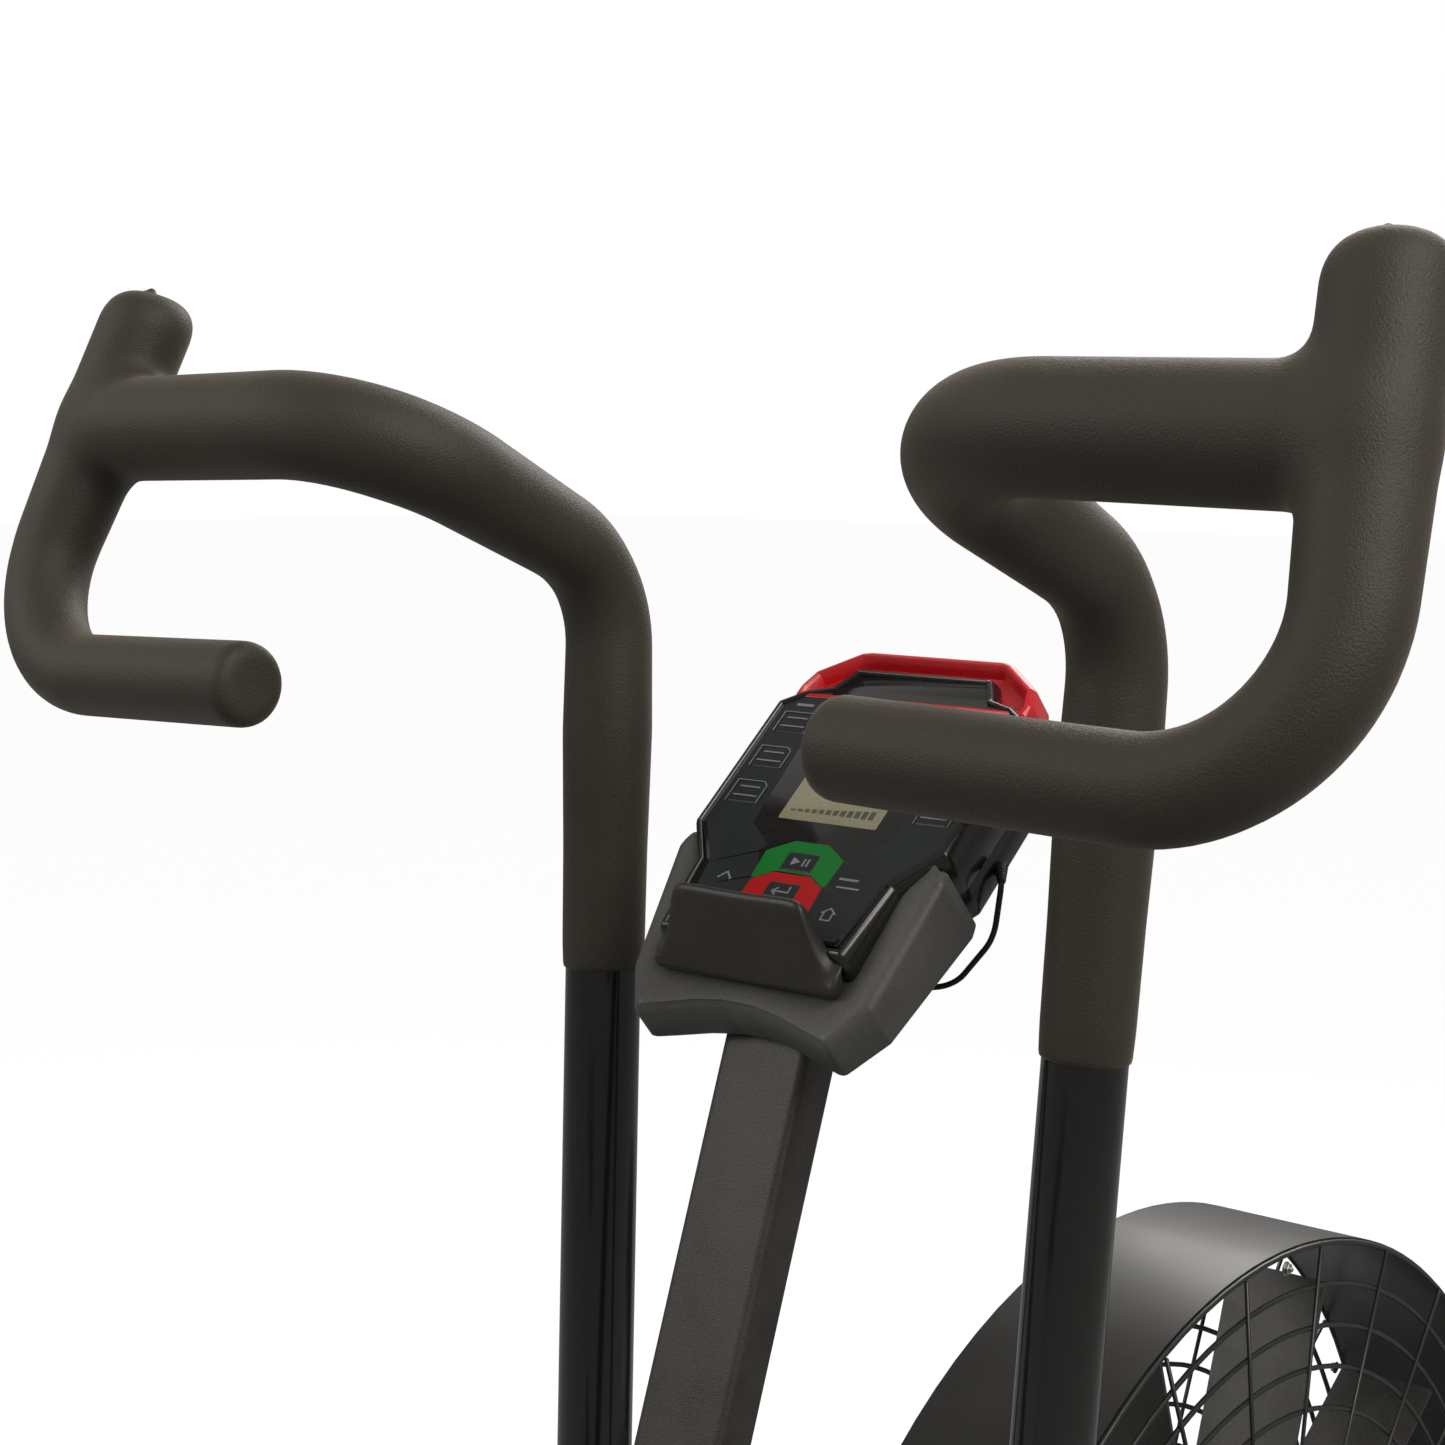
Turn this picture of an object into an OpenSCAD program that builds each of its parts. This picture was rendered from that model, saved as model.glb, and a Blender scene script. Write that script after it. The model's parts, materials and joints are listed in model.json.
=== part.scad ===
// Air bike: fan-loaded exercise bike with swinging arms, pedals and a console.
// +X is the way the rider faces, +Y the rider's left, +Z up. All sizes in mm.

/* [Overall] */
// Length over the rear stabilizer and the transport wheels
overall_l = 1400; // [1160:10:1700]
// Width of each stabilizer tube
stab_w = 600; // [480:10:740]
// Height of the handlebar elbow above the floor
elbow_h = 1150; // [1000:5:1400]
// Distance of each arm pole from the centre plane
pole_y = 151.6; // [130:0.1:180]

/* [Handlebar] */
// Outside radius of the arm tube
arm_r = 19.05; // [15:0.05:23]
// Outside radius of the welded T-bar tube
tbar_r = 14.3; // [11:0.1:17]
// Wall of both handlebar tubes
arm_wall = 2; // [1.5:0.1:3]
// Forward lean of the pole, degrees
pole_lean = 3.2; // [0:0.1:8]
// Outward lean of each pole, degrees
pole_splay = 1.9; // [0:0.1:3]
// Reach of the bar back from the elbow
bar_back = 157.2; // [120:0.1:200]
// Rise of the bar from the elbow to the second bend
bar_rise = 70.7; // [40:0.1:100]
// Reach of the bar outward to the T-bar
bar_out = 197.3; // [150:0.1:240]
// Length of the T-bar stub above the bar
stub_l = 64.1; // [40:0.1:90]
// Length of the T-bar below the bar
drop_l = 130.1; // [110:0.1:170]
// Length of the inward lower bar
lower_bar_l = 194.1; // [140:0.1:230]
// Length of foam on the pole below the elbow
foam_drop = 203; // [150:1:300]

/* [Drive] */
// Crank length to the pedal
crank_l = 170; // [150:1:180]
// Radius of the rod pin on the crank
rod_pin_throw = 50; // [35:1:60]
// Radius of the crank pulley
crank_pulley_r = 97; // [80:1:110]
// Radius of the small jackshaft pulley
jack_small_r = 30; // [24:1:36]
// Radius of the large jackshaft pulley
jack_large_r = 80; // [64:1:90]
// Radius of the fan pulley
fan_pulley_r = 28; // [22:1:34]
// Thickness of each belt
belt_t = 4; // [2:0.5:6]

/* [Fan] */
// Outside radius of the fan guard
guard_r = 330; // [260:1:335]
// Clearance from the blade tips to the outside of the guard
tip_gap = 30; // [25:1:60]
// Half width of the fan blades
blade_half_w = 32; // [20:1:40]
// Number of fan blades
blade_n = 10; // [6:1:14]

/* [Shafts and fits] */
// Radius of the fixed shaft the arms turn on
pivot_shaft_r = 15; // [12:0.1:18]
// Radius of the crank and jackshaft axles
axle_r = 10; // [8:0.1:12]
// Radius of the fan axle
fan_axle_r = 8; // [6:0.1:10]
// Radial clearance of every running fit
fit_gap = 0.05; // [0.01:0.01:0.1]
// Radius of the seat post
post_r = 19.9; // [16:0.1:21]

/* [Console] */
// Tilt of the console face from level, degrees
face_tilt = 41; // [30:1:55]
// Half width of the console shell
shell_half_w = 77.5; // [74:0.5:90]
// Travel of every key
key_travel = 0.6; // [0.3:0.1:1]
// Radius of the console lead
lead_r = 1.4; // [1:0.1:2]

/* [Saddle] */
// Height of the seat tube's top
seat_tube_top = 640; // [600:5:680]
// Length of the saddle
saddle_l = 270; // [240:1:300]
// Width of the saddle at the back
saddle_w = 220; // [180:1:260]

/* [Hidden] */
$fn = 64;

// frame layout
foot_h = 20;
beam_h = 50;
beam_w = 60;
beam_wall = 3;
beam_top = foot_h + beam_h;
stab_d = 60;
wheel_r = 25;
wheel_w = 22;
wheel_y = stab_w / 2 - 70;
wheel_z = 38;
wheel_axle_r = 5;
rear_x = -overall_l / 2;
front_face_x = overall_l / 2 - 2 * wheel_r - 2;
cap_t = 4;
body_gap = 0.3;
seam = 0.01;

// pivots in the side plane
pivot_x = -28;
pivot_z = 510;
crank_x = -360;
crank_z = 300;
jack_x = -120;
jack_z = 380;
fan_x = 345;
fan_z = 430;
shell_r = 22;
block_r = 28;
block_half_w = 57;
post_box = 50;
spine_w = 50;
spine_h = 40;
seat_slope = -0.3;
seat_tube_r = 25;
seat_tube_bore = 22.5;

// widths from the centre plane outward
shell_half = 34;
belt_w = 12;
primary_y = -50;
second_y = 68;
cover_wall = 2;
web_y = 72;
web_t = 12;
rod_y = 98;
rod_half_w = 13;
outer_y = 112;
outer_t = 14;
lever_y = 111.6;
lever_t = 10;
lever_l = pivot_z - crank_z;
sleeve_y0 = 58;
sleeve_y1 = 168;
sleeve_r = 24;
strut_y = 80;
strut_t = 6;
guard_y = 52;
guard_t = 4;
guard_wire = 4;
guard_rings = 7;
guard_inner = 60;
pedal_y = 134;
pedal_w = 96;
fan_r = guard_r - tip_gap;
tie_r = fan_r - 110;
spindle_r = 6;
pin_r = 10;

// arm points, right-hand side
elbow_x = pivot_x + (elbow_h - pivot_z) * tan(pole_lean);
elbow = [elbow_x, -pole_y, elbow_h];
pole_dir = unit([tan(pole_lean), -tan(pole_splay), 1]);
second = elbow + [-bar_back, 0, bar_rise];
tee = second + [-5.7, -bar_out, -4.5];
tee_dir = unit([0.418, 0.13, 1]);
stub_top = tee + (stub_l - 5) * tee_dir;
drop_end = tee - drop_l * tee_dir;
lower_dir = unit([-0.021, 1, 0.032]);
lower_end = drop_end + lower_bar_l * lower_dir;
arm_bends = [59.6, 67];
tee_bend = 64.4;
arm_foot = elbow - (elbow_h - pivot_z - 10) / pole_dir[2] * pole_dir;
arm_pts = [arm_foot, elbow, second, tee];
foam_pts = [elbow - foam_drop * pole_dir, elbow, second, tee + 6 * unit(second - tee)];
tee_pts = [stub_top, drop_end, lower_end];
foam_radii = [arm_r + 1.85, arm_r + 2.95, arm_r + 5.45, arm_r + 6.65];
tee_foam_radii = [tbar_r + 8, tbar_r + 6.3, tbar_r + 5.3];

// seat
seat_dir = unit([seat_slope, 0, 1]);
knob_side = [0, -1, 0];
pin_drop = 40;
post_pitch = 20;
rail_pitch = 10;
pin_hole_r = 4.4;
post_out = 122;
rail_h = 24;
rail_w = 40;
rail_l = 190;
head = seat_at(seat_tube_top) + post_out * seat_dir;
rail_x0 = head[0] - 100;
rail_z = head[2];
saddle_x = head[0] - 18;
pan_z = rail_z + rail_h + 3.35;
pan_t = 8;

// console layout in its own face frame: x up the face, y to the rider's left, z out of it
face_z = -77.5;
shell_low = -118;
film_t = 1.2;
key_rise = 0.5;
key_depth = 2.2;
side_key_x = [-24.2, -47.8, -71.2];
side_key_y = 56.6;
side_key = [13.6, 18.6];
start_key = [11.6, 18.8];
start_x = -109;
enter_key = [9.4, 18.8];
enter_x = -126.4;
key_gap = 0.35;
bezel = 1.4;
lcd_size = [62, 59];
lcd_x = -84.5;

// mast line
mast_w = 50;
mast_d = 25;
mast_slope = 0.344;
mast_x0 = elbow_x + 30 - elbow_h * mast_slope;
mast_top_z = elbow_h - 165;
spine_slope = (pivot_z - crank_z) / (pivot_x - crank_x);
spine_cross_z = (crank_z + spine_slope * (mast_x0 - crank_x)) / (1 - spine_slope * mast_slope);
mast_foot_z = spine_cross_z - 8.8;

// console lead from its plug to the grommet in the mast
lead_end_z = elbow_h - 204;
lead_end = [mast_x0 + mast_slope * lead_end_z + mast_d / 2 + 1.8, -8, lead_end_z];
lead_bends = [10, 22, 22, 16];
lead_pts = [
    face_point([-72, -79.2, -109]), face_point([-80, -84, -109]), face_point([-97, -80, -129]),
    face_point([-112, -54, -152]), lead_end + [30, -11, 14], lead_end
];

function unit(v) = v / norm(v);
function turn(p, i) = acos(unit(p[i] - p[i - 1]) * unit(p[i + 1] - p[i]));
function inset(p, bends, i) =
    (i == 0 || i == len(p) - 1) ? 0 : bends[i - 1] * tan(turn(p, i) / 2);
function polar(r, a) = [r * cos(a), r * sin(a)];
function seat_at(z) = [crank_x + (z - crank_z) * seat_slope, 0, z];

// point of the bike from a point of the console face frame
function face_point(p) = [
    elbow_x + p[0] * cos(face_tilt) - p[2] * sin(face_tilt),
    p[1],
    elbow_h + p[0] * sin(face_tilt) + p[2] * cos(face_tilt)
];

// cone or cylinder between two points
module bar(a, b, r1, r2) {
    v = b - a;
    translate(a)
        rotate([0, acos(v[2] / norm(v)), atan2(v[1], v[0])])
            cylinder(h = norm(v), r1 = r1, r2 = r2);
}

// bend of a tube at point i of a path
module elbow_bend(p, i, bend_r, r, bore) {
    d1 = unit(p[i] - p[i - 1]);
    d2 = unit(p[i + 1] - p[i]);
    side = unit(d2 - (d1 * d2) * d1);
    c = p[i] - d1 * bend_r * tan(turn(p, i) / 2) + side * bend_r;
    k = cross(-side, d1);
    multmatrix([
        [-side[0], d1[0], k[0], c[0]],
        [-side[1], d1[1], k[1], c[1]],
        [-side[2], d1[2], k[2], c[2]],
        [0, 0, 0, 1]
    ])
        rotate_extrude(angle = turn(p, i))
            translate([bend_r, 0])
                difference() {
                    circle(r = r);
                    if (bore > 0)
                        circle(r = bore);
                }
}

// tube along a path, one solid per straight and bend: one outer radius per point, one bore
module bent(p, bends, radii, bore) {
    for (i = [0 : len(p) - 2]) {
        d = unit(p[i + 1] - p[i]);
        a = p[i] + d * (inset(p, bends, i) + seam);
        b = p[i + 1] - d * (inset(p, bends, i + 1) + seam);
        if (bore > 0)
            difference() {
                bar(a, b, radii[i], radii[i + 1]);
                bar(a - d, b + d, bore, bore);
            }
        else
            bar(a, b, radii[i], radii[i + 1]);
    }
    for (i = [1 : len(p) - 2])
        elbow_bend(p, i, bends[i - 1], radii[i], bore);
}

// solid of revolution about the line from a along d, drawn as (radius, distance)
module turned(a, d, profile) {
    translate(a)
        rotate([0, acos(d[2]), atan2(d[1], d[0])])
            rotate_extrude()
                polygon(profile);
}

// cylinder across the bike from y0 to y1 at a side-plane point
module cross_bar(x, z, y0, y1, r) {
    translate([x, y0, z])
        rotate([-90, 0, 0])
            cylinder(h = y1 - y0, r = r);
}

// side-plane drawing (x, z) given thickness from y0 to y1
module side_plate(y0, y1) {
    translate([0, y1, 0])
        rotate([90, 0, 0])
            linear_extrude(height = y1 - y0)
                children();
}

// straight bar with round ends, drawn from a to b
module link_2d(a, b, w) {
    d = b - a;
    translate(a)
        circle(r = w / 2);
    translate(b)
        circle(r = w / 2);
    translate(a)
        rotate(atan2(d[1], d[0]))
            translate([0, -w / 2])
                square([norm(d), w]);
}

// hollow box along X
module box_x(x0, x1, w, h, z0, wall) {
    translate([x0, -w / 2, z0])
        difference() {
            cube([x1 - x0, w, h]);
            translate([-1, wall, wall])
                cube([x1 - x0 + 2, w - 2 * wall, h - 2 * wall]);
        }
}

// closed belt round two pulleys in the side plane
module belt(c1, r1, c2, r2, y) {
    d = c2 - c1;
    a = atan2(d[1], d[0]);
    f = acos((r1 - r2) / norm(d));
    run = sqrt(norm(d) * norm(d) - (r1 - r2) * (r1 - r2));
    side_plate(y - belt_w / 2, y + belt_w / 2) {
        for (s = [-1, 1])
            translate(c1 + polar(r1, a + s * f))
                rotate(a + s * (f - 90))
                    translate([0, s > 0 ? 0 : -belt_t])
                        square([run, belt_t]);
        belt_arc(c1, r1, a + f, 360 - 2 * f);
        belt_arc(c2, r2, a - f, 2 * f);
    }
}

module belt_arc(c, r, a0, sweep) {
    far = 3 * r;
    step = sweep / 3;
    translate(c)
        intersection() {
            difference() {
                circle(r = r + belt_t);
                circle(r = r);
            }
            polygon([
                [0, 0], polar(far, a0), polar(far, a0 + step),
                polar(far, a0 + 2 * step), polar(far, a0 + sweep)
            ]);
        }
}

// solid round two pulleys: two discs and the straight-sided block between them
module cover_solid(c1, r1, c2, r2, y0, y1) {
    d = c2 - c1;
    a = atan2(d[1], d[0]);
    f = acos((r1 - r2) / norm(d));
    k = 0.96;
    cross_bar(c1[0], c1[1], y0, y1, r1);
    cross_bar(c2[0], c2[1], y0, y1, r2);
    side_plate(y0, y1)
        polygon([
            c1 + polar(k * r1, a + f), c2 + polar(k * r2, a + f),
            c2 + polar(k * r2, a - f), c1 + polar(k * r1, a - f)
        ]);
}

module pulley(x, z, y, r, bore, lip) {
    difference() {
        union() {
            cross_bar(x, z, y - belt_w / 2, y + belt_w / 2, r);
            cross_bar(x, z, y - belt_w / 2 - 1.5, y - belt_w / 2, r + lip);
            cross_bar(x, z, y + belt_w / 2, y + belt_w / 2 + 1.5, r + lip);
        }
        cross_bar(x, z, y - belt_w, y + belt_w, bore);
    }
}

// ---- frame ----

module base_beam() {
    color("dimgray")
        box_x(rear_x + stab_d, front_face_x - stab_d, beam_w, beam_h, foot_h, beam_wall);
}

module stabilizer(x0) {
    translate([x0, -stab_w / 2, foot_h])
        difference() {
            cube([stab_d, stab_w, beam_h]);
            translate([beam_wall, -1, beam_wall])
                cube([stab_d - 2 * beam_wall, stab_w + 2, beam_h - 2 * beam_wall]);
        }
}

module front_stabilizer() {
    color("dimgray") stabilizer(front_face_x - stab_d);
}

module rear_stabilizer() {
    color("dimgray") stabilizer(rear_x);
}

module end_caps() {
    plug = 12;
    color("black")
        for (x = [rear_x, front_face_x - stab_d])
            for (s = [0, 1])
                mirror([0, s, 0])
                    translate([x, stab_w / 2, foot_h]) {
                        cube([stab_d, cap_t, beam_h]);
                        translate([beam_wall + body_gap, -plug, beam_wall + body_gap])
                            cube([
                                stab_d - 2 * (beam_wall + body_gap),
                                plug,
                                beam_h - 2 * (beam_wall + body_gap)
                            ]);
                    }
}

module levelling_feet() {
    pad_r = 22;
    pad_h = 12;
    color("black")
        for (x = [rear_x + stab_d / 2, front_face_x - stab_d / 2])
            for (s = [-1, 1])
                translate([x, s * (stab_w / 2 - 36), 0]) {
                    cylinder(h = pad_h, r = pad_r);
                    cylinder(h = foot_h, r = 8);
                }
}

module wheel_brackets() {
    ear_t = 4;
    axle_x = front_face_x + wheel_r + 2;
    color("dimgray")
        for (s = [-1, 1])
            translate([0, s * wheel_y, 0]) {
                for (e = [-1, 1])
                    translate([0, e * (wheel_w / 2 + 1 + ear_t / 2), 0])
                        side_plate(-ear_t / 2, ear_t / 2) {
                            translate([axle_x, wheel_z])
                                circle(r = 13);
                            translate([front_face_x, wheel_z - 13])
                                square([axle_x - front_face_x, 26]);
                        }
                cross_bar(axle_x, wheel_z, -wheel_w / 2 - ear_t - 5, wheel_w / 2 + ear_t + 5,
                    wheel_axle_r);
            }
}

module wheel() {
    axle_x = front_face_x + wheel_r + 2;
    side_plate(-wheel_w / 2, wheel_w / 2)
        translate([axle_x, wheel_z])
            difference() {
                circle(r = wheel_r);
                circle(r = wheel_axle_r + fit_gap);
            }
}

module wheel_right() {
    color("black") translate([0, -wheel_y, 0]) wheel();
}

module wheel_left() {
    color("black") translate([0, wheel_y, 0]) wheel();
}

module front_post() {
    color("dimgray")
        difference() {
            union() {
                difference() {
                    translate([pivot_x - post_box / 2, -post_box / 2, beam_top])
                        cube([post_box, post_box, pivot_z - beam_top - 10]);
                    translate([pivot_x - post_box / 2 + 3, -post_box / 2 + 3, beam_top - 1])
                        cube([post_box - 6, post_box - 6, pivot_z - beam_top - block_r - 6]);
                }
                cross_bar(pivot_x, pivot_z, -block_half_w, block_half_w, block_r);
            }
            cross_bar(pivot_x, pivot_z, -block_half_w - 1, block_half_w + 1, pivot_shaft_r);
        }
}

module spine_box(grow) {
    d = [pivot_x - crank_x, pivot_z - crank_z];
    translate([crank_x, 0, crank_z])
        rotate([0, -atan2(d[1], d[0]), 0])
            translate([0, -spine_w / 2 + grow, -spine_h / 2 + grow])
                cube([norm(d), spine_w - 2 * grow, spine_h - 2 * grow]);
}

module spine() {
    hanger_r = 18;
    color("dimgray")
        difference() {
            union() {
                difference() {
                    spine_box(0);
                    spine_box(3);
                }
                cross_bar(crank_x, crank_z, -shell_half, shell_half, shell_r);
                cross_bar(jack_x, jack_z, -shell_half, shell_half, hanger_r);
                translate([jack_x - 15, -20, jack_z + 10])
                    cube([30, 40, 42]);
            }
            cross_bar(crank_x, crank_z, -shell_half - 1, shell_half + 1, axle_r + fit_gap);
            cross_bar(jack_x, jack_z, -shell_half - 1, shell_half + 1, axle_r + fit_gap);
            cross_bar(pivot_x, pivot_z, -shell_half - 9, shell_half + 9, block_r);
            translate([pivot_x - post_box / 2, -post_box, 300])
                cube([post_box + 30, 2 * post_box, pivot_z - 310]);
        }
}

module seat_tube() {
    collar_l = 80;
    top = seat_at(seat_tube_top);
    foot = seat_at(beam_top - 20);
    pin = top - pin_drop * seat_dir;
    color("dimgray")
        difference() {
            union() {
                bar(foot, top, seat_tube_r, seat_tube_r);
                bar(top - 34 * seat_dir, top, seat_tube_r + 3, seat_tube_r + 3);
                bar(pin, pin + knob_side * 44, 11, 11);
            }
            bar(foot - 10 * seat_dir, top - collar_l * seat_dir, seat_tube_bore, seat_tube_bore);
            bar(top - (collar_l + 1) * seat_dir, top + seat_dir, post_r + fit_gap,
                post_r + fit_gap);
            bar(pin, pin + knob_side * 60, 4.4, 4.4);
            cross_bar(crank_x, crank_z, -60, 60, shell_r);
            spine_box(0);
            translate([crank_x - 200, -100, beam_top - 100])
                cube([400, 200, 100]);
        }
}

module mast() {
    top = [mast_x0 + mast_slope * mast_top_z, 0, mast_top_z];
    lean = atan(mast_slope);
    run = (mast_top_z - mast_foot_z) / cos(lean);
    color("dimgray")
        difference() {
            translate([mast_x0 + mast_slope * mast_foot_z, 0, mast_foot_z])
                rotate([0, lean, 0])
                    difference() {
                        translate([-mast_d / 2, -mast_w / 2, 0])
                            cube([mast_d, mast_w, run]);
                        translate([-mast_d / 2 + 2, -mast_w / 2 + 2, -1])
                            cube([mast_d - 4, mast_w - 4, run - 30]);
                    }
            spine_box(0);
            face() console_hollow();
        }
}

// ---- fan ----

module fan_struts() {
    half = 25;
    color("dimgray") {
        translate([fan_x - half, -strut_y, beam_top])
            cube([2 * half, 2 * strut_y, 8]);
        for (s = [0, 1])
            mirror([0, s, 0]) {
                side_plate(strut_y, strut_y + strut_t)
                    difference() {
                        union() {
                            translate([fan_x - half, beam_top])
                                square([2 * half, fan_z - beam_top]);
                            translate([fan_x, fan_z])
                                circle(r = half);
                        }
                        translate([fan_x, fan_z])
                            circle(r = fan_axle_r);
                    }
                for (i = [3, 6])
                    cross_bar(fan_x, fan_z - ring_r(i) + guard_wire / 2, guard_y + guard_t, strut_y, 8);
            }
    }
}

module fan_axle() {
    nut_t = 9;
    color("silver") {
        cross_bar(fan_x, fan_z, -strut_y - strut_t - 14, strut_y + strut_t + 14, fan_axle_r);
        for (s = [0, 1])
            mirror([0, s, 0])
                side_plate(strut_y + strut_t, strut_y + strut_t + nut_t)
                    translate([fan_x, fan_z])
                        polygon([for (i = [0 : 5]) polar(14, 60 * i)]);
    }
}

// outside radius of a guard ring, counted from the eye outward
function ring_r(i) = guard_inner + (guard_r - guard_inner) * i / guard_rings;

module guard() {
    ribs = 12;
    eye_r = 34;
    side_plate(guard_y, guard_y + guard_t)
        translate([fan_x, fan_z]) {
            for (i = [0 : guard_rings])
                difference() {
                    circle(r = ring_r(i));
                    circle(r = i == 0 ? eye_r : ring_r(i) - guard_wire);
                }
            for (i = [0 : ribs - 1])
                rotate(360 / ribs * i + 15)
                    translate([50, -guard_wire / 2])
                        square([guard_r - 51.5, guard_wire]);
        }
}

module guard_right() {
    color("black") mirror([0, 1, 0]) guard();
}

module guard_left() {
    color("black") guard();
}

module guard_rim() {
    color("black")
        difference() {
            cross_bar(fan_x, fan_z, -guard_y, guard_y, guard_r);
            cross_bar(fan_x, fan_z, -guard_y - 1, guard_y + 1, guard_r - 3);
        }
}

module fan_wheel() {
    hub_r = 14;
    color("silver")
        translate([fan_x, 0, fan_z])
            difference() {
                union() {
                    rotate([90, 0, 0]) {
                        cylinder(h = 5, r = 60, center = true);
                        cylinder(h = 40, r = 22, center = true);
                    }
                    difference() {
                        rotate([90, 0, 0])
                            cylinder(h = 20, r = tie_r, center = true);
                        rotate([90, 0, 0])
                            cylinder(h = 22, r = tie_r - 3, center = true);
                    }
                    for (i = [0 : blade_n - 1])
                        rotate([0, 360 / blade_n * i, 0]) {
                            translate([20, -8, -1.5])
                                cube([tie_r - 21.5, 16, 3]);
                            translate([tie_r - 20, -blade_half_w, -1])
                                cube([fan_r - tie_r + 20, 2 * blade_half_w, 2]);
                        }
                }
                rotate([90, 0, 0])
                    cylinder(h = 60, r = hub_r, center = true);
            }
}

module fan_hub() {
    hub_r = 14;
    color("silver")
        difference() {
            union() {
                cross_bar(fan_x, fan_z, -36, second_y + 8, hub_r);
                pulley(fan_x, fan_z, second_y, fan_pulley_r, hub_r, 1);
            }
            cross_bar(fan_x, fan_z, -60, 90, fan_axle_r + fit_gap);
        }
}

// ---- drive ----

module belt_primary() {
    color("black")
        belt([crank_x, crank_z], crank_pulley_r + body_gap,
            [jack_x, jack_z], jack_small_r + body_gap, primary_y);
}

module belt_second() {
    color("black")
        belt([jack_x, jack_z], jack_large_r + body_gap,
            [fan_x, fan_z], fan_pulley_r + body_gap, second_y);
}

module cover_shell(c1, r1, c2, r2, y0, y1) {
    difference() {
        cover_solid(c1, r1, c2, r2, y0, y1);
        cover_solid(c1, r1 - 3, c2, r2 - 3, y0 + cover_wall, y1 - cover_wall);
        cross_bar(c1[0], c1[1], y0 - 1, y1 + 1, axle_r + 4);
        cross_bar(c2[0], c2[1], y0 - 1, y1 + 1, axle_r + 6);
    }
}

module cover_right() {
    color("black")
        cover_shell([crank_x, crank_z], crank_pulley_r + belt_t + 8,
            [jack_x, jack_z], jack_small_r + belt_t + 8, primary_y - 12, primary_y + 13);
}

module cover_left() {
    color("black")
        cover_shell([jack_x, jack_z], jack_large_r + belt_t + 7,
            [fan_x, fan_z], fan_pulley_r + belt_t + 8, second_y - 10, second_y + 11);
}

module jackshaft() {
    color("silver") {
        cross_bar(jack_x, jack_z, primary_y - 8, second_y + 8, axle_r);
        pulley(jack_x, jack_z, primary_y, jack_small_r, axle_r, 1);
    }
}

module jack_pulley() {
    color("silver")
        difference() {
            pulley(jack_x, jack_z, second_y, jack_large_r, axle_r, 1);
            for (i = [0 : 4])
                rotate_side(jack_x, jack_z, 72 * i + 18)
                    cross_bar(48, 0, second_y - 12, second_y + 12, 15);
        }
}

module rotate_side(x, z, a) {
    translate([x, 0, z])
        rotate([0, a, 0])
            children();
}

module crank_axle() {
    color("silver")
        cross_bar(crank_x, crank_z, -web_y - web_t, web_y + web_t, axle_r);
}

module crank_pulley() {
    color("silver")
        difference() {
            pulley(crank_x, crank_z, primary_y, crank_pulley_r, axle_r, 1);
            for (i = [0 : 4])
                rotate_side(crank_x, crank_z, 72 * i + 18)
                    cross_bar(58, 0, primary_y - 12, primary_y + 12, 20);
        }
}

// Z-crank on the positive-y side, pointing up
module crank() {
    w = 36;
    side_plate(web_y, web_y + web_t)
        difference() {
            link_2d([crank_x, crank_z], [crank_x, crank_z + rod_pin_throw], w);
            translate([crank_x, crank_z])
                circle(r = axle_r);
        }
    cross_bar(crank_x, crank_z + rod_pin_throw, web_y + web_t, outer_y, pin_r);
    side_plate(outer_y, outer_y + outer_t)
        link_2d([crank_x, crank_z + rod_pin_throw], [crank_x, crank_z + crank_l], w - 4);
    cross_bar(crank_x, crank_z + crank_l, outer_y + outer_t, pedal_y + pedal_w + 3, spindle_r);
    cross_bar(crank_x, crank_z + crank_l, pedal_y + pedal_w + 0.4, pedal_y + pedal_w + 3, 10);
}

module crank_left() {
    color("gray") crank();
}

module crank_right() {
    color("gray")
        translate([crank_x, 0, crank_z])
            rotate([0, 0, 180])
                mirror([0, 0, 1])
                    translate([-crank_x, 0, -crank_z])
                        crank();
}

module pedal(z, y0) {
    l = 92;
    t = 24;
    bar_w = 14;
    translate([crank_x, y0, z])
        difference() {
            translate([-l / 2, 0, -t / 2])
                cube([l, pedal_w, t]);
            for (s = [-1, 1])
                translate([s > 0 ? 14 : -l / 2 + 10, bar_w, -t])
                    cube([l / 2 - 24, pedal_w - 2 * bar_w, 2 * t]);
            rotate([-90, 0, 0])
                translate([0, 0, -1])
                    cylinder(h = pedal_w + 2, r = spindle_r + fit_gap);
        }
}

module pedal_right() {
    color("black") pedal(crank_z - crank_l, -pedal_y - pedal_w);
}

module pedal_left() {
    color("black") pedal(crank_z + crank_l, pedal_y);
}

// connecting rod on the positive-y side from crank pin to lever end
module rod(pin_z) {
    eye_r = 19;
    a = [crank_x, rod_y, pin_z];
    b = [pivot_x, rod_y, pivot_z - lever_l];
    difference() {
        union() {
            cross_bar(a[0], a[2], rod_y - rod_half_w, rod_y + rod_half_w, eye_r);
            cross_bar(b[0], b[2], rod_y - rod_half_w, rod_y + rod_half_w, eye_r);
            bar(a, b, 10, 10);
        }
        cross_bar(a[0], a[2], rod_y - 20, rod_y + 20, pin_r + fit_gap);
    }
}

module rod_left() {
    color("gray") rod(crank_z + rod_pin_throw);
}

module rod_right() {
    color("gray") mirror([0, 1, 0]) rod(crank_z - rod_pin_throw);
}

// ---- swinging arms ----

module pivot_shaft() {
    color("silver")
        cross_bar(pivot_x, pivot_z, -286, 286, pivot_shaft_r);
}

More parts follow.
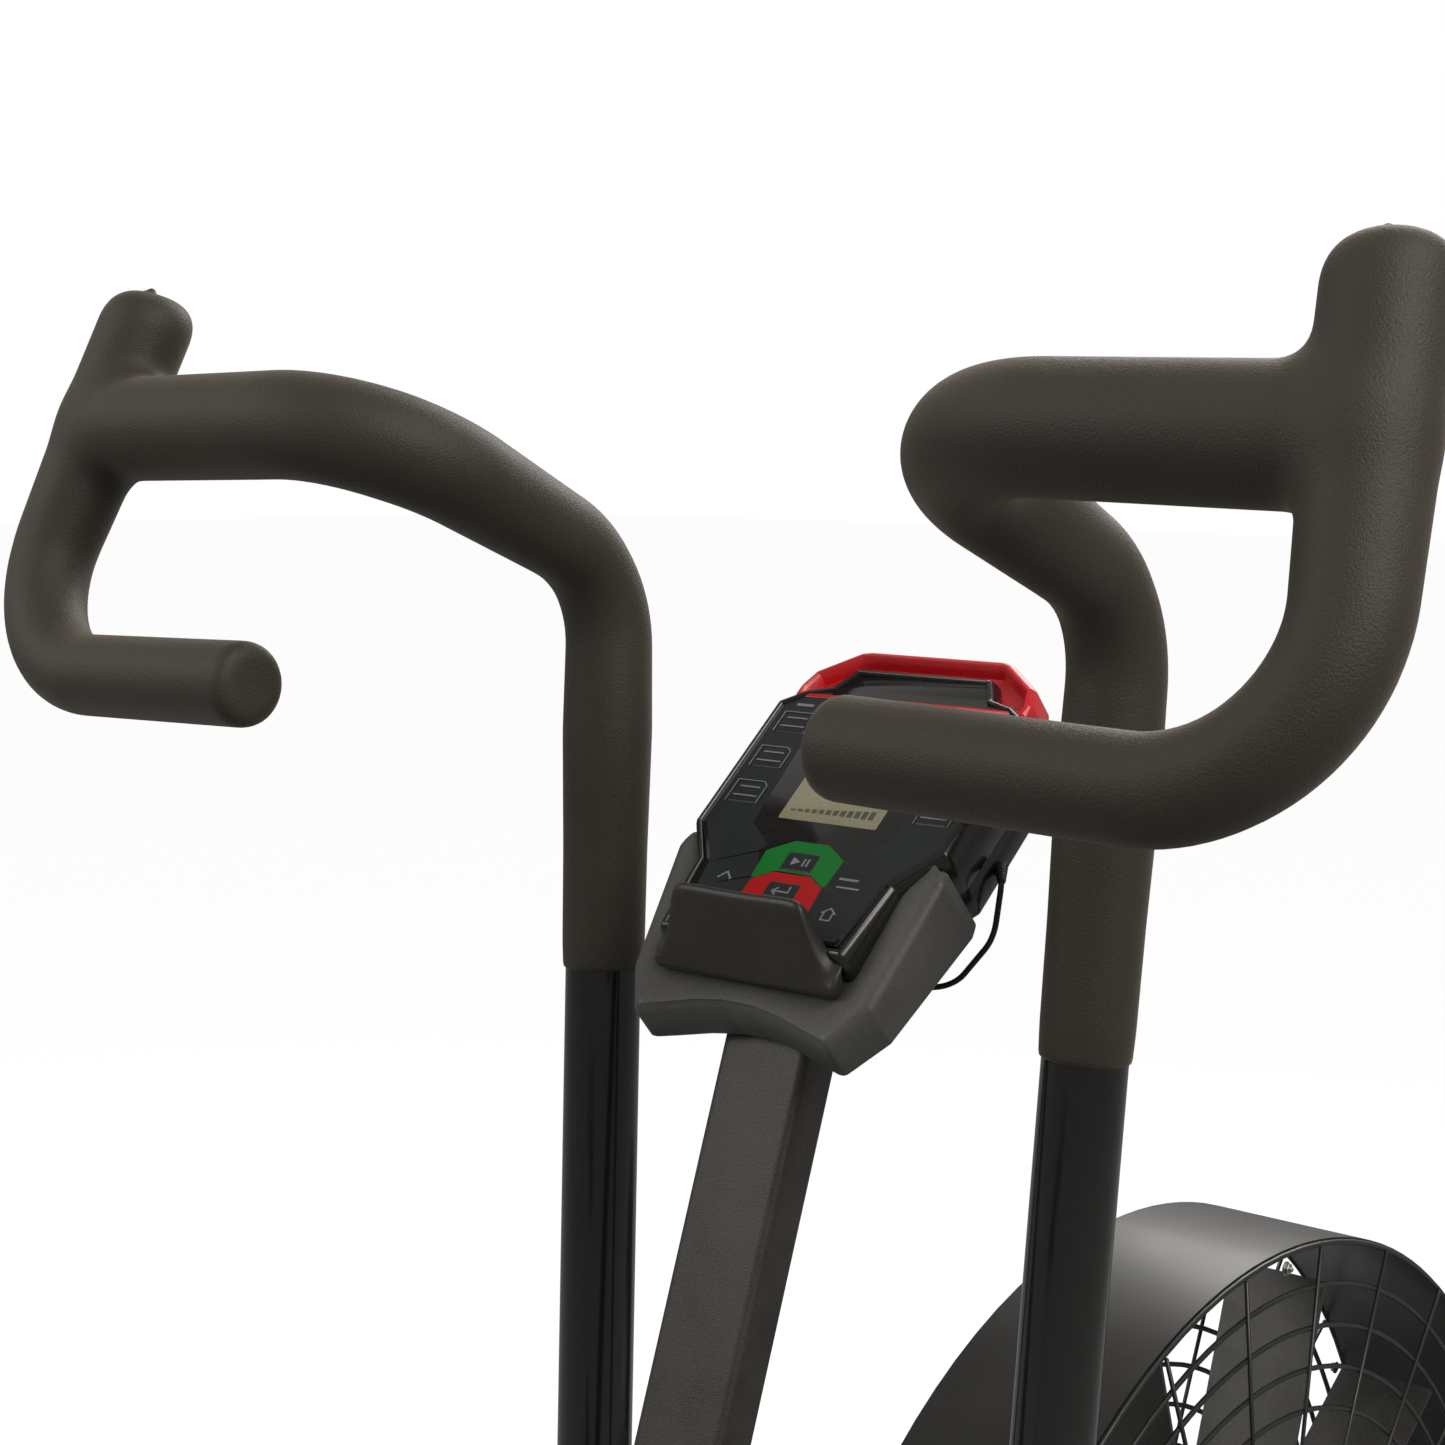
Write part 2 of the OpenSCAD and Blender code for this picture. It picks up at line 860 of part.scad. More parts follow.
module foot_pegs() {
    color("black")
        for (s = [0, 1])
            mirror([0, s, 0])
                difference() {
                    union() {
                        cross_bar(pivot_x, pivot_z, sleeve_y1 + 4, 290, 20);
                        cross_bar(pivot_x, pivot_z, 284, 290, 25);
                        cross_bar(pivot_x, pivot_z, sleeve_y1 + 0.6, sleeve_y1 + 6, 25);
                    }
                    cross_bar(pivot_x, pivot_z, sleeve_y1 - 1, 286, pivot_shaft_r);
                }
}

module arm_sleeve() {
    bolt_r = 11;
    color("dimgray")
        difference() {
            union() {
                cross_bar(pivot_x, pivot_z, sleeve_y0, sleeve_y1, sleeve_r);
                side_plate(lever_y, lever_y + lever_t)
                    link_2d([pivot_x, pivot_z], [pivot_x, pivot_z - lever_l], 40);
                cross_bar(pivot_x, pivot_z - lever_l, lever_y, lever_y + lever_t + 8, bolt_r);
            }
            cross_bar(pivot_x, pivot_z, sleeve_y0 - 1, sleeve_y1 + 1, pivot_shaft_r + fit_gap);
        }
}

module arm_sleeve_left() {
    arm_sleeve();
}

module arm_sleeve_right() {
    mirror([0, 1, 0]) arm_sleeve();
}

module arm() {
    color("black")
        difference() {
            bent(arm_pts, arm_bends, [arm_r, arm_r, arm_r, arm_r], arm_r - arm_wall);
            cross_bar(pivot_x, pivot_z, -sleeve_y1 - 10, -sleeve_y0, sleeve_r);
            bar(drop_end, stub_top, tbar_r, tbar_r);
        }
}

module arm_right() {
    arm();
}

module arm_left() {
    mirror([0, 1, 0]) arm();
}

module tbar() {
    color("black")
        bent(tee_pts, [tee_bend], [tbar_r, tbar_r, tbar_r], tbar_r - arm_wall);
}

module tbar_right() {
    tbar();
}

module tbar_left() {
    mirror([0, 1, 0]) tbar();
}

module foam() {
    r_top = tee_foam_radii[0];
    r_bend = tee_foam_radii[1];
    r_low = tee_foam_radii[2];
    r_tee = foam_radii[3];
    tee_in = inset(tee_pts, [tee_bend], 1) + seam;
    l_up = norm(stub_top - drop_end) - tee_in;
    l_tee = l_up - norm(stub_top - tee);
    l_low = lower_bar_l - tee_in;
    color("darkslategray") {
        difference() {
            bent(foam_pts, arm_bends, foam_radii, arm_r + fit_gap);
            bar(drop_end, stub_top, r_tee - 1.3, r_tee - 1.3);
        }
        difference() {
            turned(drop_end + tee_in * tee_dir, tee_dir, [
                [tbar_r, 0], [r_bend, 0], [r_tee - 1.6, l_tee - 4],
                [r_tee - 1.6, l_tee + 4], [r_top, l_up - 4],
                [r_top * 0.93, l_up + 7], [r_top * 0.72, l_up + 13.5],
                [r_top * 0.4, l_up + 17.5], [2.2, l_up + 18.6], [1.6, l_up + 21],
                [0, l_up + 21], [0, l_up + 0.1], [tbar_r, l_up + 0.1]
            ]);
            bar(second, tee, arm_r, arm_r);
        }
        elbow_bend(tee_pts, 1, tee_bend, r_bend, tbar_r);
        turned(drop_end + tee_in * lower_dir, lower_dir, [
            [tbar_r, 0], [r_bend, 0], [r_low, 60], [r_low, l_low - 2],
            [r_low - 2.2, l_low + 3], [r_low - 6.5, l_low + 6],
            [0, l_low + 7], [0, l_low + 0.1], [tbar_r, l_low + 0.1]
        ]);
    }
}

module foam_right() {
    foam();
}

module foam_left() {
    mirror([0, 1, 0]) foam();
}

// ---- seat ----

module seat_post() {
    insert = 250;
    color("silver")
        difference() {
            union() {
                bar(seat_at(seat_tube_top) - insert * seat_dir, head, post_r, post_r);
                translate([rail_x0, -rail_w / 2, rail_z - 2])
                    cube([rail_l, rail_w, rail_h]);
            }
            bar(seat_at(seat_tube_top) - (insert + 5) * seat_dir, head - 20 * seat_dir,
                post_r - 3, post_r - 3);
            for (i = [0 : 6])
                bar(seat_at(seat_tube_top) - (pin_drop + post_pitch * i) * seat_dir,
                    seat_at(seat_tube_top) - (pin_drop + post_pitch * i) * seat_dir
                        + knob_side * 30, pin_hole_r, pin_hole_r);
            for (i = [0 : 6])
                translate([head[0] - rail_pitch * i, -rail_w / 2 - 1, rail_z + 10])
                    rotate([-90, 0, 0])
                        cylinder(h = 8, r = pin_hole_r);
        }
}

// pull knob on a spring pin, pointing along -y from y0; the pin reaches in to y_in
module pull_knob(c, y_in, y0, shank_r) {
    translate([c[0], y0, c[2]])
        rotate([90, 0, 0])
            rotate_extrude()
                polygon([
                    [0, 0], [shank_r, 0], [shank_r, 6], [16, 10], [18, 14],
                    [18, 26], [15, 30], [0, 31]
                ]);
    translate([c[0], y0, c[2]])
        rotate([-90, 0, 0])
            cylinder(h = y_in - y0, r = 4);
}

module post_knob() {
    c = seat_at(seat_tube_top) - pin_drop * seat_dir;
    color("black")
        pull_knob(c, -post_r + 1.5, -44.6, 8);
}

module seat_slider() {
    wall = 5;
    clear = 0.35;
    l = 110;
    x0 = head[0] - 65;
    color("dimgray")
        difference() {
            union() {
                translate([x0, -rail_w / 2 - wall - clear, rail_z - 2 - clear])
                    cube([l, rail_w + 2 * (wall + clear), rail_h + 2 * clear + wall]);
                translate([head[0], -rail_w / 2 - wall, rail_z + 10])
                    rotate([90, 0, 0])
                        cylinder(h = 14, r = 10);
            }
            translate([x0 - 1, -rail_w / 2 - clear, rail_z - 3 - clear])
                cube([l + 2, rail_w + 2 * clear, rail_h + 1 + 2 * clear]);
            translate([head[0], -rail_w / 2 + 1, rail_z + 10])
                rotate([90, 0, 0])
                    cylinder(h = 30, r = 4.4);
        }
}

module slider_knob() {
    color("black")
        pull_knob([head[0], 0, rail_z + 10], -rail_w / 2 + 3, -rail_w / 2 - 20, 8);
}

module saddle_2d(grow) {
    back_r = 42 + grow;
    nose_r = 22 + grow;
    xb = -saddle_l / 2 + 42;
    xn = saddle_l / 2 - 22;
    yb = saddle_w / 2 - 42;
    for (s = [-1, 1])
        translate([xb, s * yb])
            circle(r = back_r);
    translate([xn, 0])
        circle(r = nose_r);
    polygon([
        [xb - back_r, yb], [xb - back_r, -yb], [xb + back_r * 0.35, -yb - back_r * 0.93],
        [xb + 110, -44 - grow], [xn, -nose_r], [xn, nose_r],
        [xb + 110, 44 + grow], [xb + back_r * 0.35, yb + back_r * 0.93]
    ]);
}

module saddle_pan() {
    color("black")
        translate([saddle_x, 0, pan_z])
            linear_extrude(height = pan_t)
                saddle_2d(-5);
}

module saddle() {
    foam_h = 46;
    edge = 12;
    color("black")
        translate([saddle_x, 0, pan_z + pan_t]) {
            linear_extrude(height = foam_h - edge)
                saddle_2d(0);
            translate([0, 0, foam_h - edge])
                linear_extrude(height = edge)
                    saddle_2d(-9);
        }
}

// ---- console ----

module face() {
    translate([elbow_x, 0, elbow_h])
        rotate([0, -face_tilt, 0])
            children();
}

module both_sides(pts) {
    n = len(pts);
    polygon(concat(pts, [for (i = [n - 1 : -1 : 0]) [pts[i][0], -pts[i][1]]]));
}

module shell_2d() {
    w = shell_half_w;
    both_sides([[15, 41], [4, 49], [1, w - 16], [-10, w], [-94, w], [-112, w - 14],
        [-160, w - 20]]);
}

module overlay_2d() {
    w = shell_half_w - 4.5;
    both_sides([[12.5, 38], [2, 45.5], [-1.5, w - 15], [-11, w], [-92.5, w - 2],
        [-114, w - 20], [-149, w - 26]]);
}

module housing_2d() {
    w = shell_half_w;
    both_sides([[-99, w + 1.5], [-106, w + 2.5], [-171, w - 6], [-193, w - 20.5],
        [-188.5, 42], [-184, 24], [-181.5, 8]]);
}

module console_hollow() {
    translate([0, 0, shell_low])
        linear_extrude(height = face_z - shell_low)
            shell_2d();
    translate([0, 0, shell_low])
        linear_extrude(height = face_z - shell_low)
            housing_2d();
}

module key_pad(x, y, size, grow) {
    translate([x - size[0] / 2 - grow, y - size[1] / 2 - grow, 0])
        square([size[0] + 2 * grow, size[1] + 2 * grow]);
}

module all_keys(grow) {
    for (x = side_key_x)
        for (s = [-1, 1])
            key_pad(x, s * side_key_y, side_key, grow);
    key_pad(start_x, 0, start_key, grow);
    key_pad(enter_x, 0, enter_key, grow);
}

module console_shell() {
    color("black")
        face()
            difference() {
                translate([0, 0, shell_low])
                    linear_extrude(height = face_z - shell_low + bezel)
                        shell_2d();
                translate([0, 0, face_z - film_t])
                    linear_extrude(height = 10)
                        overlay_2d();
                translate([0, 0, face_z - film_t - key_depth - 0.6])
                    linear_extrude(height = 10)
                        all_keys(key_gap);
                translate([lcd_x, -lcd_size[1] / 2, face_z - film_t - 5])
                    cube([lcd_size[0], lcd_size[1], 10]);
            }
}

module console_housing() {
    lip = -84;
    color("dimgray")
        face()
            difference() {
                translate([0, 0, shell_low])
                    linear_extrude(height = lip - shell_low)
                        housing_2d();
                translate([0, 0, shell_low - 1])
                    linear_extrude(height = 60)
                        shell_2d();
                translate([-193, -100, lip])
                    rotate([0, 22, 0])
                        translate([-60, 0, 0])
                            cube([85, 200, 40]);
                rest_block();
            }
}

module console_cap() {
    color("red")
        face()
            difference() {
                translate([0, 0, -98])
                    linear_extrude(height = 98 + face_z + 0.6)
                        both_sides([[27.5, 36], [24, 43.5], [10, 63], [1, 68.5], [-7, 68.5]]);
                translate([0, 0, -130])
                    linear_extrude(height = 80)
                        shell_2d();
            }
}

// block of the phone rest before the console is cut from it
module rest_block() {
    intersection() {
        translate([0, 60, 0])
            rotate([90, 0, 0])
                linear_extrude(height = 120)
                    polygon([
                        [-147.4, -52.8], [-150.4, -54.2], [-171.5, -84],
                        [-171.5, -92], [-162.5, -92], [-162.5, -86],
                        [-150, face_z + 0.2], [-143.6, face_z + 0.2],
                        [-146, -70]
                    ]);
        translate([-200, 0, 0])
            rotate([90, 0, 90])
                linear_extrude(height = 80)
                    polygon([[-52, -93], [52, -93], [50, -85], [37, -50],
                        [-37, -50], [-50, -85]]);
    }
}

module phone_rest() {
    color("black")
        face()
            difference() {
                rest_block();
                translate([0, 0, -130])
                    linear_extrude(height = 130 + face_z + bezel)
                        shell_2d();
            }
}

module overlay() {
    color("darkslategray")
        face()
            translate([0, 0, face_z - film_t])
                linear_extrude(height = film_t)
                    difference() {
                        overlay_2d();
                        all_keys(key_gap);
                        translate([lcd_x, -lcd_size[1] / 2])
                            square(lcd_size);
                    }
}

module lcd() {
    color("darkkhaki")
        face()
            translate([lcd_x + 0.2, -lcd_size[1] / 2 + 0.2, face_z - film_t - 4])
                cube([lcd_size[0] - 0.4, lcd_size[1] - 0.4, film_t + 3.6]);
}

module pad_block(x, y, size) {
    face()
        translate([0, 0, face_z - film_t - key_depth + key_rise + key_travel])
            linear_extrude(height = key_depth + film_t - key_travel)
                key_pad(x, y, size, 0);
}

module start_pad() {
    color("black") pad_block(start_x, 0, start_key);
}

module enter_pad() {
    color("black") pad_block(enter_x, 0, enter_key);
}

module side_pads() {
    color("black")
        for (x = side_key_x)
            for (s = [-1, 1])
                pad_block(x, s * side_key_y, side_key);
}

module console_lead() {
    color("black")
        bent(lead_pts, lead_bends, [for (p = lead_pts) lead_r], 0);
}

// ---- what to draw ----

base_beam();
front_stabilizer();
rear_stabilizer();
end_caps();
levelling_feet();
wheel_brackets();
wheel_right();
wheel_left();
front_post();
spine();
seat_tube();
mast();
fan_struts();
fan_axle();
guard_right();
guard_left();
guard_rim();
fan_wheel();
fan_hub();
belt_primary();
belt_second();
cover_right();
cover_left();
jackshaft();
jack_pulley();
crank_axle();
crank_pulley();
crank_right();
crank_left();
pedal_right();
pedal_left();
rod_right();
rod_left();
pivot_shaft();
foot_pegs();
arm_sleeve_right();
arm_sleeve_left();
arm_right();
arm_left();
tbar_right();
tbar_left();
foam_right();
foam_left();
seat_post();
post_knob();
seat_slider();
slider_knob();
saddle_pan();
saddle();
console_shell();
console_housing();
console_cap();
phone_rest();
overlay();
lcd();
start_pad();
enter_pad();
side_pads();
console_lead();
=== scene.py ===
import bpy
import bmesh
import json
import math
import numpy as np
from mathutils import Matrix, Vector


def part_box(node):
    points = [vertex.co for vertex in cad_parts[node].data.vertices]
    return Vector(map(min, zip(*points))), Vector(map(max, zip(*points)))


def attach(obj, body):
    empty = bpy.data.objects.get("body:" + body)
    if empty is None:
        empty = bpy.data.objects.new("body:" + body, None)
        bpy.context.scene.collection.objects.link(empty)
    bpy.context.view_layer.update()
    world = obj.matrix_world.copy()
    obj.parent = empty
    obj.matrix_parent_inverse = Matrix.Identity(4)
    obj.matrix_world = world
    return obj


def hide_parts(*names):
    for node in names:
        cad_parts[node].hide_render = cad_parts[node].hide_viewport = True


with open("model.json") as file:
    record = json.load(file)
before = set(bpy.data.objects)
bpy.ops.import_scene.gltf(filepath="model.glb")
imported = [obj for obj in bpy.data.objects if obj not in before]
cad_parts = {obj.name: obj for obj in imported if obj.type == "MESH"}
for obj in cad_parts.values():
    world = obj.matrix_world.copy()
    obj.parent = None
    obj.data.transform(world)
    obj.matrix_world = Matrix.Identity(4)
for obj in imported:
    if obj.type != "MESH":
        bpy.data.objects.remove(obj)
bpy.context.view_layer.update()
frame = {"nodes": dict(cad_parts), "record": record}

# ---- View, light and floor -------------------------------------------------
# The rider's-eye product view: a camera behind the rider's right hand, looking
# forward and left over the grips. A pale sweep floor and three soft panels.
mm = 0.001
look_yaw, look_pitch, look_roll = math.radians(41.191), math.radians(-6.199), math.radians(0.464)
ahead = Vector((math.cos(look_pitch) * math.cos(look_yaw),
                math.cos(look_pitch) * math.sin(look_yaw), math.sin(look_pitch)))
level = ahead.cross(Vector((0, 0, 1))).normalized()
upward = level.cross(ahead)
cam_right = level * math.cos(look_roll) + upward * math.sin(look_roll)
cam_up = upward * math.cos(look_roll) - level * math.sin(look_roll)
cam_data = bpy.data.cameras.new("view")
cam_data.sensor_width = 36
cam_data.lens = 64.775
cam_data.clip_end = 100
cam = bpy.data.objects.new("view", cam_data)
bpy.context.scene.collection.objects.link(cam)
cam.matrix_world = Matrix((
    (cam_right.x, cam_up.x, -ahead.x, -0.94054),
    (cam_right.y, cam_up.y, -ahead.y, -0.75421),
    (cam_right.z, cam_up.z, -ahead.z, 1.21376),
    (0, 0, 0, 1)))
bpy.context.scene.camera = cam
bpy.context.scene.view_settings.view_transform = "Standard"


def panel_light(name, place, aim, size, power, tint=(1, 1, 1)):
    data = bpy.data.lights.new(name, "AREA")
    data.shape = "RECTANGLE"
    data.size, data.size_y = size
    data.energy = power
    data.color = tint
    lamp = bpy.data.objects.new(name, data)
    lamp.location = place
    lamp.rotation_euler = (Vector(aim) - Vector(place)).to_track_quat("-Z", "Y").to_euler()
    bpy.context.scene.collection.objects.link(lamp)


panel_light("key_panel", (-0.4, -2.2, 3.0), (0, 0, 1.0), (1.8, 1.8), 62, (1.0, 0.96, 0.9))
panel_light("left_panel", (-2.2, 1.8, 2.4), (0, 0, 1.0), (1.6, 1.6), 26, (1.0, 0.97, 0.93))
panel_light("back_panel", (2.4, 0.6, 2.6), (0, 0, 0.9), (1.8, 1.8), 40, (1.0, 0.98, 0.95))

world = bpy.data.worlds.new("studio")
bpy.context.scene.world = world
world.use_nodes = True
sky = world.node_tree
sky.nodes.clear()
seen = sky.nodes.new("ShaderNodeBackground")
seen.inputs["Strength"].default_value = 1.0
lit = sky.nodes.new("ShaderNodeBackground")
lit.inputs["Color"].default_value = (1.0, 0.97, 0.93, 1)
lit.inputs["Strength"].default_value = 0.28
path = sky.nodes.new("ShaderNodeLightPath")
pick = sky.nodes.new("ShaderNodeMixShader")
out = sky.nodes.new("ShaderNodeOutputWorld")
seen.inputs["Color"].default_value = (1, 1, 1, 1)
sky.links.new(path.outputs["Is Camera Ray"], pick.inputs["Fac"])
sky.links.new(lit.outputs[0], pick.inputs[1])
sky.links.new(seen.outputs[0], pick.inputs[2])
sky.links.new(pick.outputs[0], out.inputs["Surface"])

floor_mesh = bpy.data.meshes.new("floor")
floor_mesh.from_pydata([(-30, -30, 0), (30, -30, 0), (30, 30, 0), (-30, 30, 0)], [], [(0, 1, 2, 3)])
floor = bpy.data.objects.new("floor", floor_mesh)
bpy.context.scene.collection.objects.link(floor)
floor_mat = bpy.data.materials.new("pale_floor")
floor_mat.use_nodes = True
floor_tree = floor_mat.node_tree
floor_tree.nodes.clear()
matte = floor_tree.nodes.new("ShaderNodeBsdfDiffuse")
matte.inputs["Color"].default_value = (0.16, 0.16, 0.16, 1)
glow = floor_tree.nodes.new("ShaderNodeEmission")
floor_path = floor_tree.nodes.new("ShaderNodeLightPath")
level_map = floor_tree.nodes.new("ShaderNodeMapRange")
level_map.inputs["To Min"].default_value = 0.12
level_map.inputs["To Max"].default_value = 0.93
both = floor_tree.nodes.new("ShaderNodeAddShader")
floor_out = floor_tree.nodes.new("ShaderNodeOutputMaterial")
floor_tree.links.new(floor_path.outputs["Is Camera Ray"], level_map.inputs["Value"])
floor_tree.links.new(level_map.outputs[0], glow.inputs["Strength"])
floor_tree.links.new(matte.outputs[0], both.inputs[0])
floor_tree.links.new(glow.outputs[0], both.inputs[1])
floor_tree.links.new(both.outputs[0], floor_out.inputs["Surface"])
floor_mesh.materials.append(floor_mat)

# ---- Foam grips ------------------------------------------------------------
# One moulded sleeve a side of soft closed-cell foam, slid over the bent pole and
# the T-bar before the ends are sealed. It thickens over the lateral bar, and the
# leg of the T blends into it in a wide fillet. The left one mirrors the right.
joint = {j["name"]: j for j in frame["record"]["behaviour"]["joints"]}
pivot = Vector(joint["arm_right_swing"]["pos_m"])
pole_y = 151.6 * mm
pole_lean = math.radians(3.2)
elbow_z = 1.150
elbow = Vector((pivot.x + (elbow_z - pivot.z) * math.tan(pole_lean), -pole_y, elbow_z))
pole_splay = math.radians(1.9)
pole_dir = Vector((math.tan(pole_lean), -math.tan(pole_splay), 1)).normalized()
second_bend = elbow + Vector((-157.2, 0, 70.7)) * mm
tee = second_bend + Vector((-5.7, -197.3, -4.5)) * mm
tee_dir = Vector((0.418, 0.13, 1)).normalized()
stub_top = tee + tee_dir * 59.1 * mm
drop_end = tee - tee_dir * 130.1 * mm
lower_dir = Vector((-0.021, 1, 0.032)).normalized()
lower_end = drop_end + lower_dir * 200.5 * mm
foam_start = elbow - pole_dir * 203 * mm


def bent_path(points, bends, step=4 * mm):
    """Points along a path whose corners are rounded to the bend radii."""
    out_pts = [points[0].copy()]
    for i in range(1, len(points) - 1):
        d1 = (points[i] - points[i - 1]).normalized()
        d2 = (points[i + 1] - points[i]).normalized()
        turn = d1.angle(d2)
        side = (d2 - d1 * d1.dot(d2)).normalized()
        start = points[i] - d1 * bends[i - 1] * math.tan(turn / 2)
        centre = start + side * bends[i - 1]
        out_pts.extend(straight(out_pts[-1], start, step))
        n = max(4, int(turn * bends[i - 1] / step))
        for k in range(1, n + 1):
            a = turn * k / n
            out_pts.append(centre - side * bends[i - 1] * math.cos(a) + d1 * bends[i - 1] * math.sin(a))
    out_pts.extend(straight(out_pts[-1], points[-1], step))
    return out_pts


def straight(a, b, step):
    n = max(1, int((b - a).length / step))
    return [a.lerp(b, k / n) for k in range(1, n + 1)]


def distances(path_pts):
    steps = [(b - a).length for a, b in zip(path_pts, path_pts[1:])]
    return np.concatenate([[0], np.cumsum(steps)])


def new_piece(name, verts, faces, smooth=True):
    mesh = bpy.data.meshes.new(name)
    mesh.from_pydata([tuple(v) for v in verts], [], faces)
    mesh.validate()
    if smooth:
        mesh.shade_smooth()
    piece = bpy.data.objects.new(name, mesh)
    bpy.context.scene.collection.objects.link(piece)
    return piece


def tube(name, pts, radii, sides=32, caps=True):
    """A round tube of changing radius along a list of points."""
    verts, faces = [], []
    ahead_now = (pts[1] - pts[0]).normalized()
    across = ahead_now.orthogonal().normalized()
    for i, p in enumerate(pts):
        nxt = pts[min(i + 1, len(pts) - 1)] - pts[max(i - 1, 0)]
        nxt.normalize()
        across = (across - nxt * across.dot(nxt)).normalized()
        other = nxt.cross(across)
        r = radii[i] if hasattr(radii, "__len__") else radii
        for k in range(sides):
            a = 2 * math.pi * k / sides
            verts.append(p + (across * math.cos(a) + other * math.sin(a)) * r)
    for i in range(len(pts) - 1):
        for k in range(sides):
            k2 = (k + 1) % sides
            faces.append((i * sides + k, i * sides + k2, (i + 1) * sides + k2, (i + 1) * sides + k))
    if caps:
        faces.append(tuple(range(sides - 1, -1, -1)))
        last = (len(pts) - 1) * sides
        faces.append(tuple(range(last, last + sides)))
    return new_piece(name, verts, faces)


def remesh(piece, voxel):
    mod = piece.modifiers.new("cells", "REMESH")
    mod.mode = "VOXEL"
    mod.voxel_size = voxel
    bake(piece)


def bake(piece):
    """Apply every modifier on the piece."""
    graph = bpy.context.evaluated_depsgraph_get()
    done = bpy.data.meshes.new_from_object(piece.evaluated_get(graph))
    old = piece.data
    piece.modifiers.clear()
    piece.data = done
    done.name = piece.name
    bpy.data.meshes.remove(old)


bar_stop = tee + (second_bend - tee).normalized() * 8 * mm
main_path = bent_path([foam_start, elbow, second_bend, bar_stop], [59.6 * mm, 67 * mm])
main_s = distances(main_path) / mm
bar_end = main_s[-1]
main_r = np.interp(main_s, [0, 14, 60, 120, 160, 203, 243, 299, 341, bar_end - 20, bar_end],
                   [20.3, 20.9, 21.3, 22.6, 21.9, 21.3, 22.4, 24.6, 25.7, 25.7, 22.5]) * mm
stub_end = stub_top + tee_dir * 15 * mm
tee_path = bent_path([stub_end, drop_end, lower_end], [64.4 * mm])
tee_s = distances(tee_path) / mm
tee_r = np.interp(tee_s, [0, 72, 143, 203, 400], [23.1, 23.1, 20.6, 19.6, 19.6]) * mm


# The stub's end is a low dome whose moulding nib sits off centre.
stub_face = (tee_dir + Vector((-0.12, 0, 0))).normalized()
nib_foot = stub_end + tee_dir * 1.4 * mm - Vector((5, 0, 0)) * mm


def path_gap(verts, pts, radii):
    """Distance of each vertex from the skin of a tube, and the outward direction."""
    a = np.array([tuple(p) for p in pts[:-1]])
    b = np.array([tuple(p) for p in pts[1:]])
    ab = b - a
    best = np.full(len(verts), 1e9)
    away = np.zeros_like(verts)
    for i in range(len(a)):
        t = np.clip(((verts - a[i]) @ ab[i]) / (ab[i] @ ab[i]), 0, 1)
        off = verts - (a[i] + t[:, None] * ab[i])
        dist = np.linalg.norm(off, axis=1)
        gap = dist - (radii[i] + t * (radii[i + 1] - radii[i]))
        near = gap < best
        best[near] = gap[near]
        away[near] = off[near] / np.maximum(dist[near], 1e-9)[:, None]
    return best, away


def soft_min(d1, n1, d2, n2, k):
    h = np.clip(0.5 + 0.5 * (d2 - d1) / k, 0, 1)
    d = d2 * (1 - h) + d1 * h - k * h * (1 - h)
    n = n2 * (1 - h)[:, None] + n1 * h[:, None]
    return d, n


def soft_cut(d, n, verts, point, normal, k):
    """Cut flat at a plane, with an edge rounded over k."""
    plane = (verts - np.array(point)) @ np.array(normal)
    nn = np.broadcast_to(np.array(normal, dtype=float), n.shape)
    dd, nd = soft_min(-d, n, -plane, nn, k)
    return -dd, nd


def foam_skin(verts):
    d1, n1 = soft_cut(*path_gap(verts, main_path, main_r), verts, foam_start, -pole_dir, 2.5 * mm)
    d2, n2 = soft_cut(*path_gap(verts, tee_path, tee_r), verts, lower_end, lower_dir, 9 * mm)
    d2, n2 = soft_cut(d2, n2, verts, stub_end, stub_face, 20 * mm)
    return soft_min(d1, n1, d2, n2, 13 * mm)


cell = 2.4 * mm
foam_right = tube("foam_sleeve_right", main_path, main_r + 0.5 * mm)
foam_leg = tube("foam_leg", tee_path, tee_r + 0.5 * mm)
with bpy.context.temp_override(active_object=foam_right, selected_editable_objects=[foam_right, foam_leg]):
    bpy.ops.object.join()
remesh(foam_right, cell)
skin = np.empty(len(foam_right.data.vertices) * 3)
foam_right.data.vertices.foreach_get("co", skin)
skin = skin.reshape(-1, 3)
for _ in range(5):
    gap, away = foam_skin(skin)
    length = np.maximum(np.linalg.norm(away, axis=1), 0.3)
    skin -= away / length[:, None] * (gap / length)[:, None]
foam_right.data.vertices.foreach_set("co", skin.ravel())
foam_right.data.shade_smooth()
foam_right.data.update()


def mirrored(piece, name):
    """The left-hand copy of a right-hand piece."""
    mesh = piece.data.copy()
    mesh.name = name
    mesh.transform(Matrix.Scale(-1, 4, (0, 1, 0)))
    mesh.flip_normals()
    twin = bpy.data.objects.new(name, mesh)
    bpy.context.scene.collection.objects.link(twin)
    return twin


nib = tube("stub_nib_right", [nib_foot + tee_dir * h * mm for h in (-3.5, -1.5, 0.3, 1.6, 2.2)],
           [7.5 * mm, 5 * mm, 2.8 * mm, 1.7 * mm, 0.8 * mm], sides=20)


def node_group(name, inputs, outputs):
    """An empty shader group with float or colour sockets."""
    group = bpy.data.node_groups.new(name, "ShaderNodeTree")
    for label, kind, value in inputs:
        s = group.interface.new_socket(label, in_out="INPUT", socket_type=kind)
        if value is not None:
            s.default_value = value
    for label, kind in outputs:
        group.interface.new_socket(label, in_out="OUTPUT", socket_type=kind)
    return group, group.nodes.new("NodeGroupInput"), group.nodes.new("NodeGroupOutput")


def maths(tree, operation, a, b=None):
    node = tree.nodes.new("ShaderNodeMath")
    node.operation = operation
    for socket, value in zip(node.inputs, (a, b)):
        if value is None:
            continue
        if isinstance(value, (int, float)):
            socket.default_value = value
        else:
            tree.links.new(value, socket)
    return node.outputs[0]


